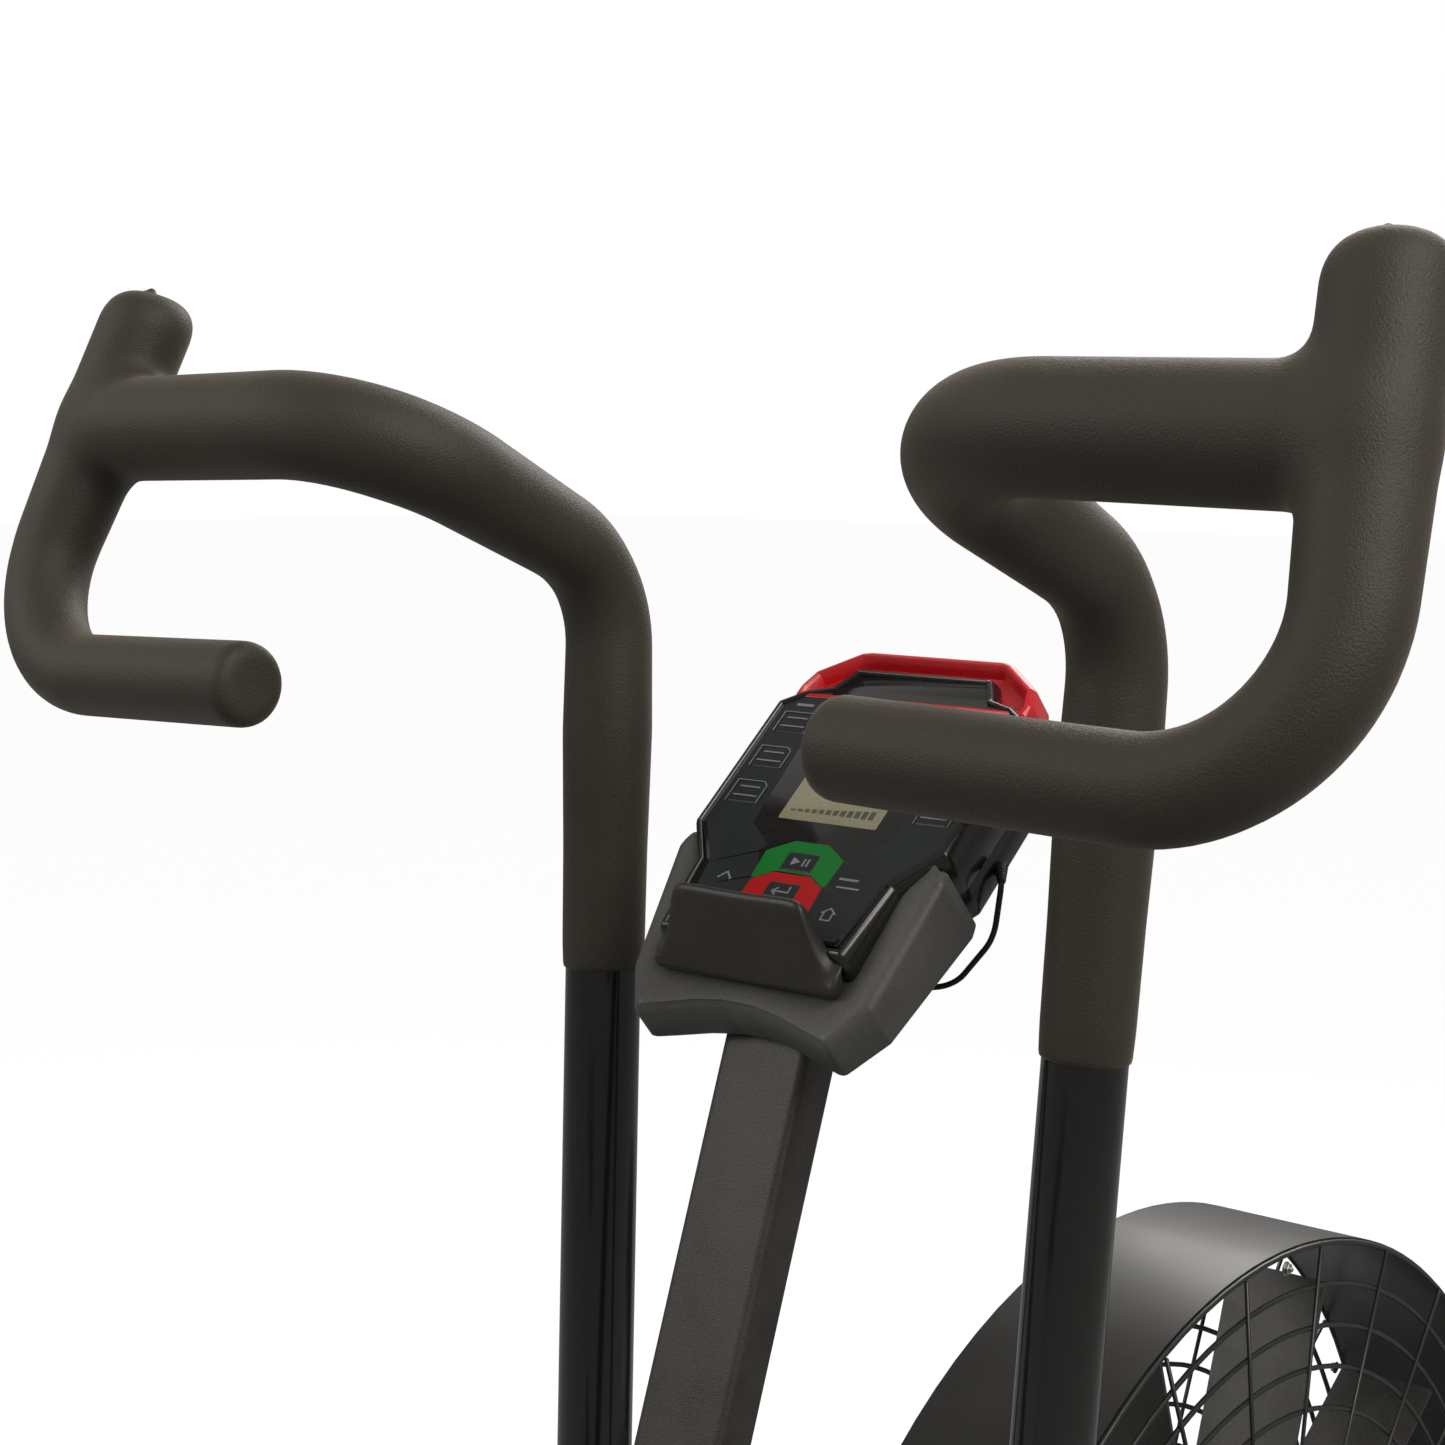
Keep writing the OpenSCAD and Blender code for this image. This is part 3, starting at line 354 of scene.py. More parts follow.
# Fine grain: small bumps over slow unevenness. Height feeds a bump, Shade a colour.
grain, g_in, g_out = node_group(
    "fine_grain",
    [("Pebble size", "NodeSocketFloat", 900.0), ("Patch size", "NodeSocketFloat", 30.0),
     ("Base", "NodeSocketColor", (0.1, 0.1, 0.1, 1)), ("Worn", "NodeSocketColor", (0.2, 0.2, 0.2, 1)),
     ("Rough", "NodeSocketFloat", 0.5), ("Rough spread", "NodeSocketFloat", 0.1)],
    [("Color", "NodeSocketColor"), ("Roughness", "NodeSocketFloat"), ("Height", "NodeSocketFloat")])
place = grain.nodes.new("ShaderNodeTexCoord")
pebble = grain.nodes.new("ShaderNodeTexNoise")
pebble.inputs["Detail"].default_value = 2.0
pebble.inputs["Roughness"].default_value = 0.55
patch = grain.nodes.new("ShaderNodeTexNoise")
patch.inputs["Detail"].default_value = 4.0
grain.links.new(place.outputs["Object"], pebble.inputs["Vector"])
grain.links.new(place.outputs["Object"], patch.inputs["Vector"])
grain.links.new(g_in.outputs["Pebble size"], pebble.inputs["Scale"])
grain.links.new(g_in.outputs["Patch size"], patch.inputs["Scale"])
spots = grain.nodes.new("ShaderNodeMapRange")
spots.inputs["From Min"].default_value = 0.38
spots.inputs["From Max"].default_value = 0.68
grain.links.new(pebble.outputs["Fac"], spots.inputs["Value"])
slow = grain.nodes.new("ShaderNodeMapRange")
slow.inputs["From Min"].default_value = 0.3
slow.inputs["From Max"].default_value = 0.7
grain.links.new(patch.outputs["Fac"], slow.inputs["Value"])
mask = maths(grain, "MULTIPLY_ADD", spots.outputs[0], 0.45)
grain.nodes[-1].inputs[2].default_value = 0.0
mask2 = maths(grain, "MULTIPLY", slow.outputs[0], 0.55)
mask3 = maths(grain, "ADD", mask, mask2)
tint = grain.nodes.new("ShaderNodeMix")
tint.data_type = "RGBA"
grain.links.new(mask3, tint.inputs[0])
grain.links.new(g_in.outputs["Base"], tint.inputs[6])
grain.links.new(g_in.outputs["Worn"], tint.inputs[7])
grain.links.new(tint.outputs[2], g_out.inputs["Color"])
spread = maths(grain, "MULTIPLY", mask3, g_in.outputs["Rough spread"])
rough = maths(grain, "ADD", g_in.outputs["Rough"], spread)
grain.links.new(rough, g_out.inputs["Roughness"])
grain.links.new(pebble.outputs["Fac"], g_out.inputs["Height"])


def grained(name, base, worn, rough, spread, pebble, patch, bump, metal=0.0, coat=0.0, coat_rough=0.1,
            sheen=0.0, specular=0.5):
    """A material with the fine grain group on its colour, roughness and bump."""
    mat = bpy.data.materials.new(name)
    mat.use_nodes = True
    tree = mat.node_tree
    shader = tree.nodes["Principled BSDF"]
    shader.inputs["Metallic"].default_value = metal
    shader.inputs["Coat Weight"].default_value = coat
    shader.inputs["Coat Roughness"].default_value = coat_rough
    shader.inputs["Sheen Weight"].default_value = sheen
    shader.inputs["Specular IOR Level"].default_value = specular
    g = tree.nodes.new("ShaderNodeGroup")
    g.node_tree = grain
    g.inputs["Pebble size"].default_value = pebble
    g.inputs["Patch size"].default_value = patch
    g.inputs["Base"].default_value = (*base, 1)
    g.inputs["Worn"].default_value = (*worn, 1)
    g.inputs["Rough"].default_value = rough
    g.inputs["Rough spread"].default_value = spread
    tree.links.new(g.outputs["Color"], shader.inputs["Base Color"])
    tree.links.new(g.outputs["Roughness"], shader.inputs["Roughness"])
    relief = tree.nodes.new("ShaderNodeBump")
    relief.inputs["Strength"].default_value = 1.0
    relief.inputs["Distance"].default_value = bump
    tree.links.new(g.outputs["Height"], relief.inputs["Height"])
    tree.links.new(relief.outputs["Normal"], shader.inputs["Normal"])
    return mat


foam_finish = grained("grip_foam_skin", (0.030, 0.0255, 0.018), (0.044, 0.038, 0.028), 0.5, 0.12,
                      1100, 18, 0.35 * mm, sheen=0.22, specular=0.42)
foam_finish.node_tree.nodes["Principled BSDF"].inputs["Sheen Roughness"].default_value = 0.4
foam_finish.node_tree.nodes["Principled BSDF"].inputs["Sheen Tint"].default_value = (1.0, 0.9, 0.75, 1)

foam_left = mirrored(foam_right, "foam_sleeve_left")
nib_left = mirrored(nib, "stub_nib_left")
for side, sleeve, tip in (("right", foam_right, nib), ("left", foam_left, nib_left)):
    for piece in (sleeve, tip):
        piece.data.materials.clear()
        piece.data.materials.append(foam_finish)
        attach(piece, "arm_" + side[0])
    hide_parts("foam_" + side)



def carry(material, *node_names):
    """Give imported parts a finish; their shape stays as packed."""
    for node_name in node_names:
        mesh = frame["nodes"][node_name].data
        mesh.materials.clear()
        mesh.materials.append(material)


def finish(piece, material, body, slot, *node_names):
    """Paint a piece, fix it to its moving body and hide the imported parts it stands for."""
    piece.data.materials.clear()
    piece.data.materials.append(material)
    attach(piece, body)
    if node_names:
        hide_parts(*node_names)
    return piece


# ---- Arm tubes and T-bar tubes ---------------------------------------------
# Bent 38 mm steel poles in gloss black enamel, bare below the foam. The T-bar
# tubes inside the foam are never seen except at their cut ends.
gloss_paint = grained("gloss_black_enamel", (0.006, 0.006, 0.006), (0.011, 0.010, 0.009), 0.16, 0.1,
                      240, 9, 0.03 * mm, coat=0.6, coat_rough=0.06)
carry(gloss_paint, "arm_right", "arm_left", "tbar_right", "tbar_left")

# ---- Mast ------------------------------------------------------------------
# A 50 x 25 mm steel box tube with rolled corners, leaning forward from the spine
# to the console and powder-coated in a coarse dark metallic texture.
powder = grained("textured_powder_coat", (0.034, 0.031, 0.028), (0.075, 0.069, 0.061), 0.36, 0.16,
                 1500, 40, 0.22 * mm, metal=0.35, coat=0.15, coat_rough=0.3)
elbow_to_mast = 30 * mm
mast_slope = 0.344
mast_x0 = elbow.x + elbow_to_mast - elbow_z * mast_slope
mast_low, mast_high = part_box("mast")
mast_half_d, mast_half_w, mast_corner = 12.5 * mm, 25 * mm, 4.5 * mm


def inward(pts, d):
    """Outline moved in by d; points run anticlockwise."""
    out_pts = []
    for i, p in enumerate(pts):
        p = np.array(p, dtype=float)
        a = p - pts[i - 1]
        b = np.array(pts[(i + 1) % len(pts)]) - p
        n1 = np.array([-a[1], a[0]]) / np.hypot(*a)
        n2 = np.array([-b[1], b[0]]) / np.hypot(*b)
        out_pts.append(p + (n1 + n2) / (1 + n1 @ n2) * d)
    return out_pts


def rounded(pts, r, steps=6):
    """Outline with its corners rounded to r (one value, or one per corner)."""
    out_pts = []
    for i, p in enumerate(pts):
        p = np.array(p, dtype=float)
        a, b = np.array(pts[i - 1]) - p, np.array(pts[(i + 1) % len(pts)]) - p
        la, lb = np.hypot(*a), np.hypot(*b)
        turn = math.acos(max(-1, min(1, -(a @ b) / la / lb)))
        corner_r = r[i] if hasattr(r, "__len__") else r
        t = min(corner_r * math.tan(turn / 2), 0.46 * la, 0.46 * lb)
        p0, p2 = p + a / la * t, p + b / lb * t
        for k in range(steps + 1):
            q = k / steps
            out_pts.append((1 - q) ** 2 * p0 + 2 * q * (1 - q) * p + q * q * p2)
    return out_pts


def loft(name, rings, sharp=38, caps=True):
    """Skin through rings of equal count; each ring is a list of 3-D points."""
    n = len(rings[0])
    verts = [tuple(v) for ring in rings for v in ring]
    faces = [(i * n + k, i * n + (k + 1) % n, (i + 1) * n + (k + 1) % n, (i + 1) * n + k)
             for i in range(len(rings) - 1) for k in range(n)]
    if caps:
        faces.append(tuple(range(n - 1, -1, -1)))
        faces.append(tuple(range((len(rings) - 1) * n, len(rings) * n)))
    piece = new_piece(name, verts, faces)
    piece.data.set_sharp_from_angle(angle=math.radians(sharp))
    return piece


def box_tube(name, a, b, across, half_a, half_b, corner):
    """Box tube from a to b with rolled corners; half_a is measured along across."""
    d = (b - a).normalized()
    other = d.cross(across).normalized()
    outline = rounded([(-half_a, -half_b), (half_a, -half_b), (half_a, half_b), (-half_a, half_b)], corner)
    return loft(name, [[p + across * q[0] + other * q[1] for q in outline] for p in (a, b)], sharp=60)


mast_foot = Vector((mast_x0 + mast_slope * (mast_low.z - 12 * mm), 0, mast_low.z - 12 * mm))
mast_top = Vector((mast_x0 + mast_slope * (mast_high.z - 9 * mm), 0, mast_high.z - 9 * mm))
mast_front = Vector((1, 0, -mast_slope)).normalized()
mast = box_tube("mast_tube", mast_foot, mast_top, mast_front, mast_half_d, mast_half_w, mast_corner)
finish(mast, powder, "frame", "frame_paint", "mast")

# ---- Console shell and bezel -----------------------------------------------
# A two-part injection moulding in gloss black: a tray that clamps the printed
# face and a raised rounded bezel round it. Four screws hold it on the mast.
face_m = Matrix.Translation(elbow) @ Matrix.Rotation(math.radians(-41), 4, "Y")
face_m.translation = Vector((elbow.x, 0, elbow_z))
film_top = -77.5
console_black = grained("gloss_moulded_black", (0.009, 0.009, 0.0085), (0.016, 0.0155, 0.014), 0.2, 0.1,
                        420, 14, 0.035 * mm, coat=0.35, coat_rough=0.08)


def on_face(u, y, n):
    return face_m @ Vector((u * mm, y * mm, n * mm))


def mirrored_outline(half):
    """Closed outline from its +y half, listed from the top of the face down."""
    return [(u, y) for u, y in half] + [(u, -y) for u, y in reversed(half)]


def face_loft(name, outline, rings, r=5.0, sharp=38):
    """Skin from (inset, height) rings round an outline on the console face."""
    skins = []
    for d, n in rings:
        skins.append([on_face(p[0], p[1], n) for p in rounded(inward(outline, d), max(r - d, 0.6))])
    return loft(name, skins, sharp)


shell_outline = mirrored_outline([(17, 39), (16, 42), (4, 49), (0.5, 61.5), (-10, 77), (-94, 77), (-116.5, 60.5),
                                  (-160, 56)])
shell = face_loft("console_tray", shell_outline,
                  [(9, -118), (2, -117), (0, -114), (0, -100), (0.3, -99.6), (0, -99.2), (0, -86), (0.6, -81.5),
                   (1.6, -78.4), (2.9, -76.4), (4.0, -75.9), (4.8, -76.3), (5.3, -77.2), (5.5, -78.4), (8, -78.6)],
                  r=4.5)
finish(shell, console_black, "frame", "black_plastic", "console_shell")

# ---- Console lower housing -------------------------------------------------
# Grey satin moulding under the bottom half of the console. Its ridge slopes
# down to a front edge with an arch that clears the mast.
grey_satin = grained("grey_satin_moulding", (0.075, 0.075, 0.071), (0.116, 0.115, 0.108), 0.36, 0.14,
                     620, 22, 0.05 * mm, specular=0.45)
housing_half = [(-99, 77.5), (-107, 79.6), (-171, 71.0), (-193.5, 57.5), (-190, 44), (-185, 26), (-182, 9)]
housing_low = mirrored_outline(housing_half)
housing_top = mirrored_outline([(-99, 73.5), (-106, 75.5), (-170, 67.5), (-190.5, 55.5), (-187.5, 43), (-183, 25.5),
                                (-180.5, 9)])
housing_in = mirrored_outline([(-99, 72), (-113, 64), (-163, 58), (-176, 51), (-178, 42), (-175.5, 25), (-174.5, 9)])


def ridge(u, drop):
    """Height of the housing's top at a place up the face."""
    return np.interp(u, [-194, -171, -106, -99], [-94.5, -91.0, -78.5, -77.5]) - drop


def housing_ring(outline, height, r):
    return [on_face(p[0], p[1], height(p[0])) for p in rounded(outline, r)]


housing = loft("console_housing_moulding", [
    housing_ring(inward(housing_low, 5), lambda u: -118.0, 3),
    housing_ring(inward(housing_low, 1), lambda u: -117.3, 3.5),
    housing_ring(housing_low, lambda u: -115.5, 4),
    housing_ring(housing_low, lambda u: ridge(u, 5), 4),
    housing_ring(inward(housing_low, 0.5), lambda u: ridge(u, 3.4), 4),
    housing_ring(inward(housing_low, 2), lambda u: ridge(u, 1.6), 4),
    housing_ring(housing_top, lambda u: ridge(u, 0.6), 4),
    housing_ring(inward(housing_top, 2), lambda u: ridge(u, 0.5), 4),
    housing_ring(housing_in, lambda u: ridge(u, 0.9), 3),
    housing_ring(inward(housing_in, 4), lambda u: ridge(u, 2.5), 2)], sharp=42)
finish(housing, grey_satin, "frame", "grey_plastic", "console_housing")

# ---- Red top cap -----------------------------------------------------------
# A red moulded hood clipped over the console's top corners.
cap_red = grained("red_moulding", (0.60, 0.008, 0.014), (0.72, 0.014, 0.022), 0.26, 0.1, 520, 18, 0.03 * mm,
                  coat=0.3, coat_rough=0.1)
cap_outline = mirrored_outline([(28.5, 40), (27.5, 45), (12.5, 66), (1.5, 70), (-8, 70)])
cap = face_loft("console_hood", cap_outline, [(3, -99), (0.8, -98), (0, -96), (0, -80.5), (0.8, -78.4), (2.4, -77.0),
                                             (3.6, -76.8), (5.5, -78.4), (7, -84)], r=5)
# The hood's lower edge tucks under the printed face.
face_zero = on_face(0, 0, 0)
face_up, face_out = ((on_face(*step) - face_zero).normalized() for step in ((1, 0, 0), (0, 0, 1)))
for v in cap.data.vertices:
    out = (v.co - face_zero).dot(face_out)
    if (v.co - face_zero).dot(face_up) < -3 * mm and abs(v.co.y) < 62 * mm and out > -80.5 * mm:
        v.co -= face_out * (out + 80.5 * mm)
finish(cap, cap_red, "frame", "red_plastic", "console_cap")

# ---- Printed face ----------------------------------------------------------
# A polyester film glued in the tray, printed from behind in slate, gloss black,
# green and red, with light lines round the keys. No lettering is printed.
slate_film = grained("slate_print", (0.0145, 0.019, 0.0215), (0.021, 0.027, 0.030), 0.3, 0.12, 1300, 20, 0.012 * mm)
black_film = grained("gloss_black_print", (0.004, 0.0045, 0.0045), (0.007, 0.007, 0.007), 0.1, 0.08, 900, 20,
                     0.008 * mm, coat=0.8, coat_rough=0.04)
green_film = grained("green_print", (0.0015, 0.19, 0.020), (0.003, 0.25, 0.032), 0.28, 0.1, 1300, 25, 0.012 * mm)
red_film = grained("red_print", (0.50, 0.004, 0.005), (0.62, 0.009, 0.010), 0.28, 0.1, 1300, 25, 0.012 * mm)
line_film = grained("pale_print", (0.22, 0.24, 0.245), (0.29, 0.31, 0.315), 0.4, 0.1, 1300, 25, 0.01 * mm)


def print_patch(name, outline, layer, material, body="frame", slot="film", r=0.6, height=0.0):
    """A thin printed shape; higher layers sit over lower ones."""
    n = film_top + height + 0.05 * layer
    pts = rounded(outline, r, 4)
    piece = loft(name, [[on_face(p[0], p[1], n - 0.3) for p in pts], [on_face(p[0], p[1], n) for p in pts]], sharp=30)
    return finish(piece, material, body, slot)


def print_line(name, pts, width, layer, material, closed=False, body="frame", height=0.0):
    """A printed line with mitred corners."""
    verts, faces = [], []
    n = film_top + height + 0.05 * layer
    count = len(pts)
    for i, p in enumerate(pts):
        p = np.array(p, dtype=float)
        before = np.array(pts[i - 1]) if (i > 0 or closed) else None
        after = np.array(pts[(i + 1) % count]) if (i < count - 1 or closed) else None
        d1 = (p - before) / np.hypot(*(p - before)) if before is not None else None
        d2 = (after - p) / np.hypot(*(after - p)) if after is not None else None
        d1 = d2 if d1 is None else d1
        d2 = d1 if d2 is None else d2
        side = np.array([-(d1 + d2)[1], (d1 + d2)[0]])
        side = side / np.hypot(*side)
        side = side / max(0.35, abs(side @ np.array([-d1[1], d1[0]]))) * width / 2
        for q in (p - side, p + side):
            verts.append(on_face(q[0], q[1], n))
            verts.append(on_face(q[0], q[1], n - 0.25))
    spans = count if closed else count - 1
    for i in range(spans):
        a, b = 4 * i, 4 * ((i + 1) % count)
        faces += [(a, b, b + 2, a + 2), (a + 1, a + 3, b + 3, b + 1),
                  (a, a + 1, b + 1, b), (a + 2, b + 2, b + 3, a + 3)]
    if not closed:
        faces += [(0, 2, 3, 1), (4 * count - 4, 4 * count - 3, 4 * count - 1, 4 * count - 2)]
    piece = new_piece(name, verts, faces, smooth=False)
    return finish(piece, material, body, "film")


film_outline = mirrored_outline([(12.6, 38), (2, 45.3), (-1, 60.5), (-9.5, 73), (-92, 72), (-115, 53.5), (-152, 48.5)])
film = face_loft("face_film", film_outline, [(0.4, -79.6), (0, -79.2), (0, film_top - 0.1), (0.15, film_top)], r=2.0)
finish(film, black_film, "frame", "film", "overlay")

side_strip = [(-2, 46), (-3.5, 61.5), (-10.5, 71), (-91, 70), (-103, 60), (-104.5, 27), (-101.5, 24.5), (-97, 30),
              (-89, 41.5), (-45, 44)]
print_patch("slate_strip_left", side_strip, 1, slate_film, r=1.5)
print_patch("slate_strip_right", [(u, -y) for u, y in reversed(side_strip)], 1, slate_film, r=1.5)
lower_panel = [(-104.5, 27.5), (-103, 60), (-114.5, 51.7), (-150, 46), (-150, 0), (-118, 0), (-118, 20)]
print_patch("slate_panel_left", lower_panel, 1, slate_film, r=1.0)
print_patch("slate_panel_right", [(u, -y) for u, y in reversed(lower_panel)], 1, slate_film, r=1.0)
green_half = [(-96.8, 10), (-104.5, 23.2), (-120.3, 22.2), (-121.2, 20.6), (-115.6, 10.8)]
print_patch("green_arch", mirrored_outline(green_half), 2, green_film, r=1.2)
red_half = [(-116.4, 11), (-121.9, 20.9), (-139.3, 22), (-141, 19.5), (-135, 11.5)]
print_patch("red_arch", mirrored_outline(red_half), 3, red_film, r=1.2)
for side, flip in (("left", 1), ("right", -1)):
    print_line("upper_divider_" + side, [(-104.2, 24 * flip), (-115.7, 51 * flip)], 0.7, 3, black_film)
    print_line("lower_divider_" + side, [(-120.9, 22.5 * flip), (-129.5, 45 * flip)], 0.7, 3, black_film)
    for k, (top_u, low_u) in enumerate(((-17.5, -31), (-41, -54.5), (-64, -78))):
        outer, inner = (66.5, 47.2) if flip > 0 else (-66.5, -47.2)
        print_line("key_line_%s_%d" % (side, k + 1),
                   [(low_u, outer), (low_u + 4, outer), (top_u, outer), (top_u, inner + 2.6 * flip),
                    (top_u - 2.6, inner), (low_u, inner)], 0.42, 4, line_film, height=0.52)
        for row, spread in ((3.6, 6.2), (-3.4, 7.4)):
            mid = (top_u + low_u) / 2 + row * 0.8
            print_line("key_mark_%s_%d_%s" % (side, k + 1, "top" if row > 0 else "low"),
                       [(mid, 56.6 * flip - spread), (mid, 56.6 * flip + spread)], 0.75, 4, line_film, height=0.52)
print_line("heading_mark", [(-12, 52.5), (-12, 63)], 1.6, 4, line_film)
print_line("up_mark", [(-124.3, 40.5), (-120.2, 36.5), (-124.3, 32.5)], 1.0, 4, line_film)
print_line("mode_mark_long", [(-114.8, -27), (-114.8, -38)], 1.3, 4, line_film)
print_line("mode_mark_short", [(-119.6, -28), (-119.6, -41)], 1.0, 4, line_film)
print_line("home_roof", [(-135.2, -29), (-132, -33), (-135.2, -37)], 0.8, 4, line_film)
print_line("home_walls", [(-134.6, -30.5), (-139, -30.5), (-139, -35.5), (-134.6, -35.5)], 0.8, 4, line_film)

# ---- Key pads --------------------------------------------------------------
# Low rubber domes under the film. The six side keys share one strip a side; the
# start and enter keys each press on their own.
pad_finish = grained("key_dome_film", (0.012, 0.015, 0.017), (0.019, 0.023, 0.026), 0.34, 0.14, 1300, 22, 0.02 * mm)


def key_cap(name, u0, u1, half_y, centre_y, rise):
    outline = [(u0, centre_y - half_y), (u1, centre_y - half_y), (u1, centre_y + half_y), (u0, centre_y + half_y)]
    if u0 > u1:
        outline = outline[::-1]
    return face_loft(name, outline, [(0.1, film_top - 2.6), (0, film_top - 0.6), (0, film_top + rise - 0.45),
                                     (0.35, film_top + rise - 0.1), (1.0, film_top + rise)], r=1.6)


pads = []
for flip in (1, -1):
    for k, mid_u in enumerate((-24.2, -47.8, -71.2)):
        pads.append(key_cap("side_pad_%s_%d" % ("left" if flip > 0 else "right", k + 1), mid_u + 6.7, mid_u - 6.7,
                            9.2, 56.6 * flip, 0.5))
for pad in pads:
    finish(pad, pad_finish, "frame", "film")
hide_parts("side_pads")
start_key = key_cap("start_key_dome", -103.3, -114.7, 9.3, 0, 0.5)
finish(start_key, pad_finish, "start_key", "film", "start_pad")
enter_key = key_cap("enter_key_dome", -121.8, -131, 9.3, 0, 0.5)
finish(enter_key, pad_finish, "enter_key", "film", "enter_pad")
print_patch("start_icon", [(-106.5, 4.5), (-109, -0.5), (-111.5, 4.5)][::-1], 1, line_film, "start_key", height=0.5,
            r=0.2)
for k, y in enumerate((-2.6, -4.9)):
    print_line("pause_icon_%d" % (k + 1), [(-106.7, y), (-111.3, y)], 1.1, 1, line_film, body="start_key", height=0.5)
print_line("enter_icon_stem", [(-123.8, -4.5), (-127.4, -4.5), (-127.4, 4)], 0.9, 1, line_film, body="enter_key",
           height=0.5)
print_line("enter_icon_tip", [(-125.2, 2), (-127.4, 4.8), (-129.6, 2)], 0.9, 1, line_film, body="enter_key",
           height=0.5)

# ---- Display ---------------------------------------------------------------
# A reflective liquid-crystal window in a gloss black surround: olive glass with
# dark segments for a dial arc, digits and a bar scale.
glass = grained("lcd_olive", (0.33, 0.31, 0.20), (0.41, 0.385, 0.255), 0.2, 0.12, 700, 24, 0.01 * mm,
                coat=0.5, coat_rough=0.05)
segment_ink = grained("lcd_segment", (0.10, 0.10, 0.065), (0.13, 0.13, 0.085), 0.3, 0.1, 900, 20, 0.01 * mm)
lcd_top, lcd_low, lcd_half = -22.7, -84.3, 29.3
lcd_outline = [(lcd_top, lcd_half), (lcd_low, lcd_half), (lcd_low, -lcd_half), (lcd_top, -lcd_half)]
lcd = face_loft("lcd_window", lcd_outline, [(0.2, film_top - 4.6), (0, film_top - 4), (0, film_top + 0.02),
                                            (0.2, film_top + 0.1)], r=1.2)
finish(lcd, glass, "frame", "lcd_glass", "lcd")
print_line("lcd_border", [(lcd_top - 0.4, lcd_half - 0.4), (lcd_low + 0.4, lcd_half - 0.4),
                          (lcd_low + 0.4, 0.4 - lcd_half), (lcd_top - 0.4, 0.4 - lcd_half)], 1.4, 1, black_film,
           closed=True)


def segments(name, pieces):
    """Thin dark quads just over the glass, joined in one piece."""
    verts, faces = [], []
    for quad in pieces:
        base = len(verts)
        for n in (film_top + 0.14, film_top):
            verts += [on_face(u, y, n) for u, y in quad]
        count = len(quad)
        faces.append(tuple(range(base, base + count)))
        faces.append(tuple(range(base + 2 * count - 1, base + count - 1, -1)))
        faces += [(base + k, base + count + k, base + count + (k + 1) % count, base + (k + 1) % count)
                  for k in range(count)]
    return finish(new_piece(name, verts, faces, smooth=False), segment_ink, "frame", "lcd_glass")


dial = []
for k in range(14):
    a0, a1 = math.radians(200 - 16 * k), math.radians(200 - 16 * k - 12)
    cu, cy, r0, r1 = -50, 2, 17, 21
    dial.append([(cu + r * math.sin(a), cy - r * math.cos(a)) for r, a in ((r0, a0), (r1, a0), (r1, a1), (r0, a1))])
segments("dial_segments", dial)
seven = {"a": ((0, 1), (2, 1)), "b": ((2, 1), (2, 0)), "c": ((2, 0), (2, -1)), "d": ((0, -1), (2, -1)),
         "e": ((0, 0), (0, -1)), "f": ((0, 1), (0, 0)), "g": ((0, 0), (2, 0))}
digits = []
for k, lit in enumerate(("abcdef", "abged", "abcdfg", "abcdef")):
    for part in lit:
        (x0, z0), (x1, z1) = seven[part]
        y0, y1 = 12 - 6 * k - x0 * 1.9, 12 - 6 * k - x1 * 1.9
        u0, u1 = -50 + z0 * 4, -50 + z1 * 4
        if y0 == y1:
            digits.append([(u0 - 0.5, y0 + 0.45), (u1 + 0.5, y0 + 0.45), (u1 + 0.5, y0 - 0.45), (u0 - 0.5, y0 - 0.45)])
        else:
            digits.append([(u0 + 0.45, y0 - 0.4), (u0 - 0.45, y0 - 0.4), (u0 - 0.45, y1 + 0.4), (u0 + 0.45, y1 + 0.4)])
segments("digit_segments", digits)
scale = [[(-79, 25 - 4.2 * k), (-79 + 1.2 + 0.35 * k, 25 - 4.2 * k), (-79 + 1.2 + 0.35 * k, 22 - 4.2 * k),
          (-79, 22 - 4.2 * k)] for k in range(12)]
segments("scale_segments", scale)

# ---- Phone rest ------------------------------------------------------------
# A black satin moulding: a leaning back plate whose corners slope down into two
# short wings, screwed across the lower end of the console.
rest_black = grained("warm_black_moulding", (0.020, 0.0185, 0.0155), (0.036, 0.0335, 0.029), 0.34, 0.14,
                     560, 20, 0.04 * mm, specular=0.5)


def rest_section(y, lift):
    """Side outline of the rest at one place across; lift 1 is full height."""
    foot = [(-171.5, -91.5), (-171.8, -87), (-170.2, -84)]
    top = [(-152.5, -56), (-150.2, -53.6), (-147.6, -53), (-146.2, -55), (-146.0, -62)]
    back = [(-148.5, -73), (-149, -77), (-158, -77.2), (-163, -86), (-163, -91.5)]
    flat = [(-168.5, -84), (-166.5, -82.6), (-164, -82), (-161, -81.6), (-158.5, -81)]
    ring = list(foot)
    ring += [(a[0] * lift + b[0] * (1 - lift), a[1] * lift + b[1] * (1 - lift)) for a, b in zip(top, flat)]
    low_back = [(-157, -80), (-157.5, -81), (-160, -82), (-163, -88), (-163, -91.5)]
    ring += [(a[0] * lift + b[0] * (1 - lift), a[1] * lift + b[1] * (1 - lift)) for a, b in zip(back, low_back)]
    return [on_face(u, y, n) for u, n in ring]


stations = [(54, 0.0), (51.5, 0.02), (49, 0.07), (46, 0.2), (42.5, 0.46), (39.5, 0.78), (37, 0.96), (33, 1.0),
            (16, 0.985), (0, 0.98)]
stations += [(-y, lift) for y, lift in reversed(stations[:-1])]
rest = loft("phone_rest_moulding", [rest_section(y, lift) for y, lift in stations], sharp=180)
smooth = rest.modifiers.new("soft", "SUBSURF")
smooth.levels = smooth.render_levels = 2
bake(rest)
rest.data.shade_smooth()
finish(rest, rest_black, "frame", "black_plastic", "phone_rest")


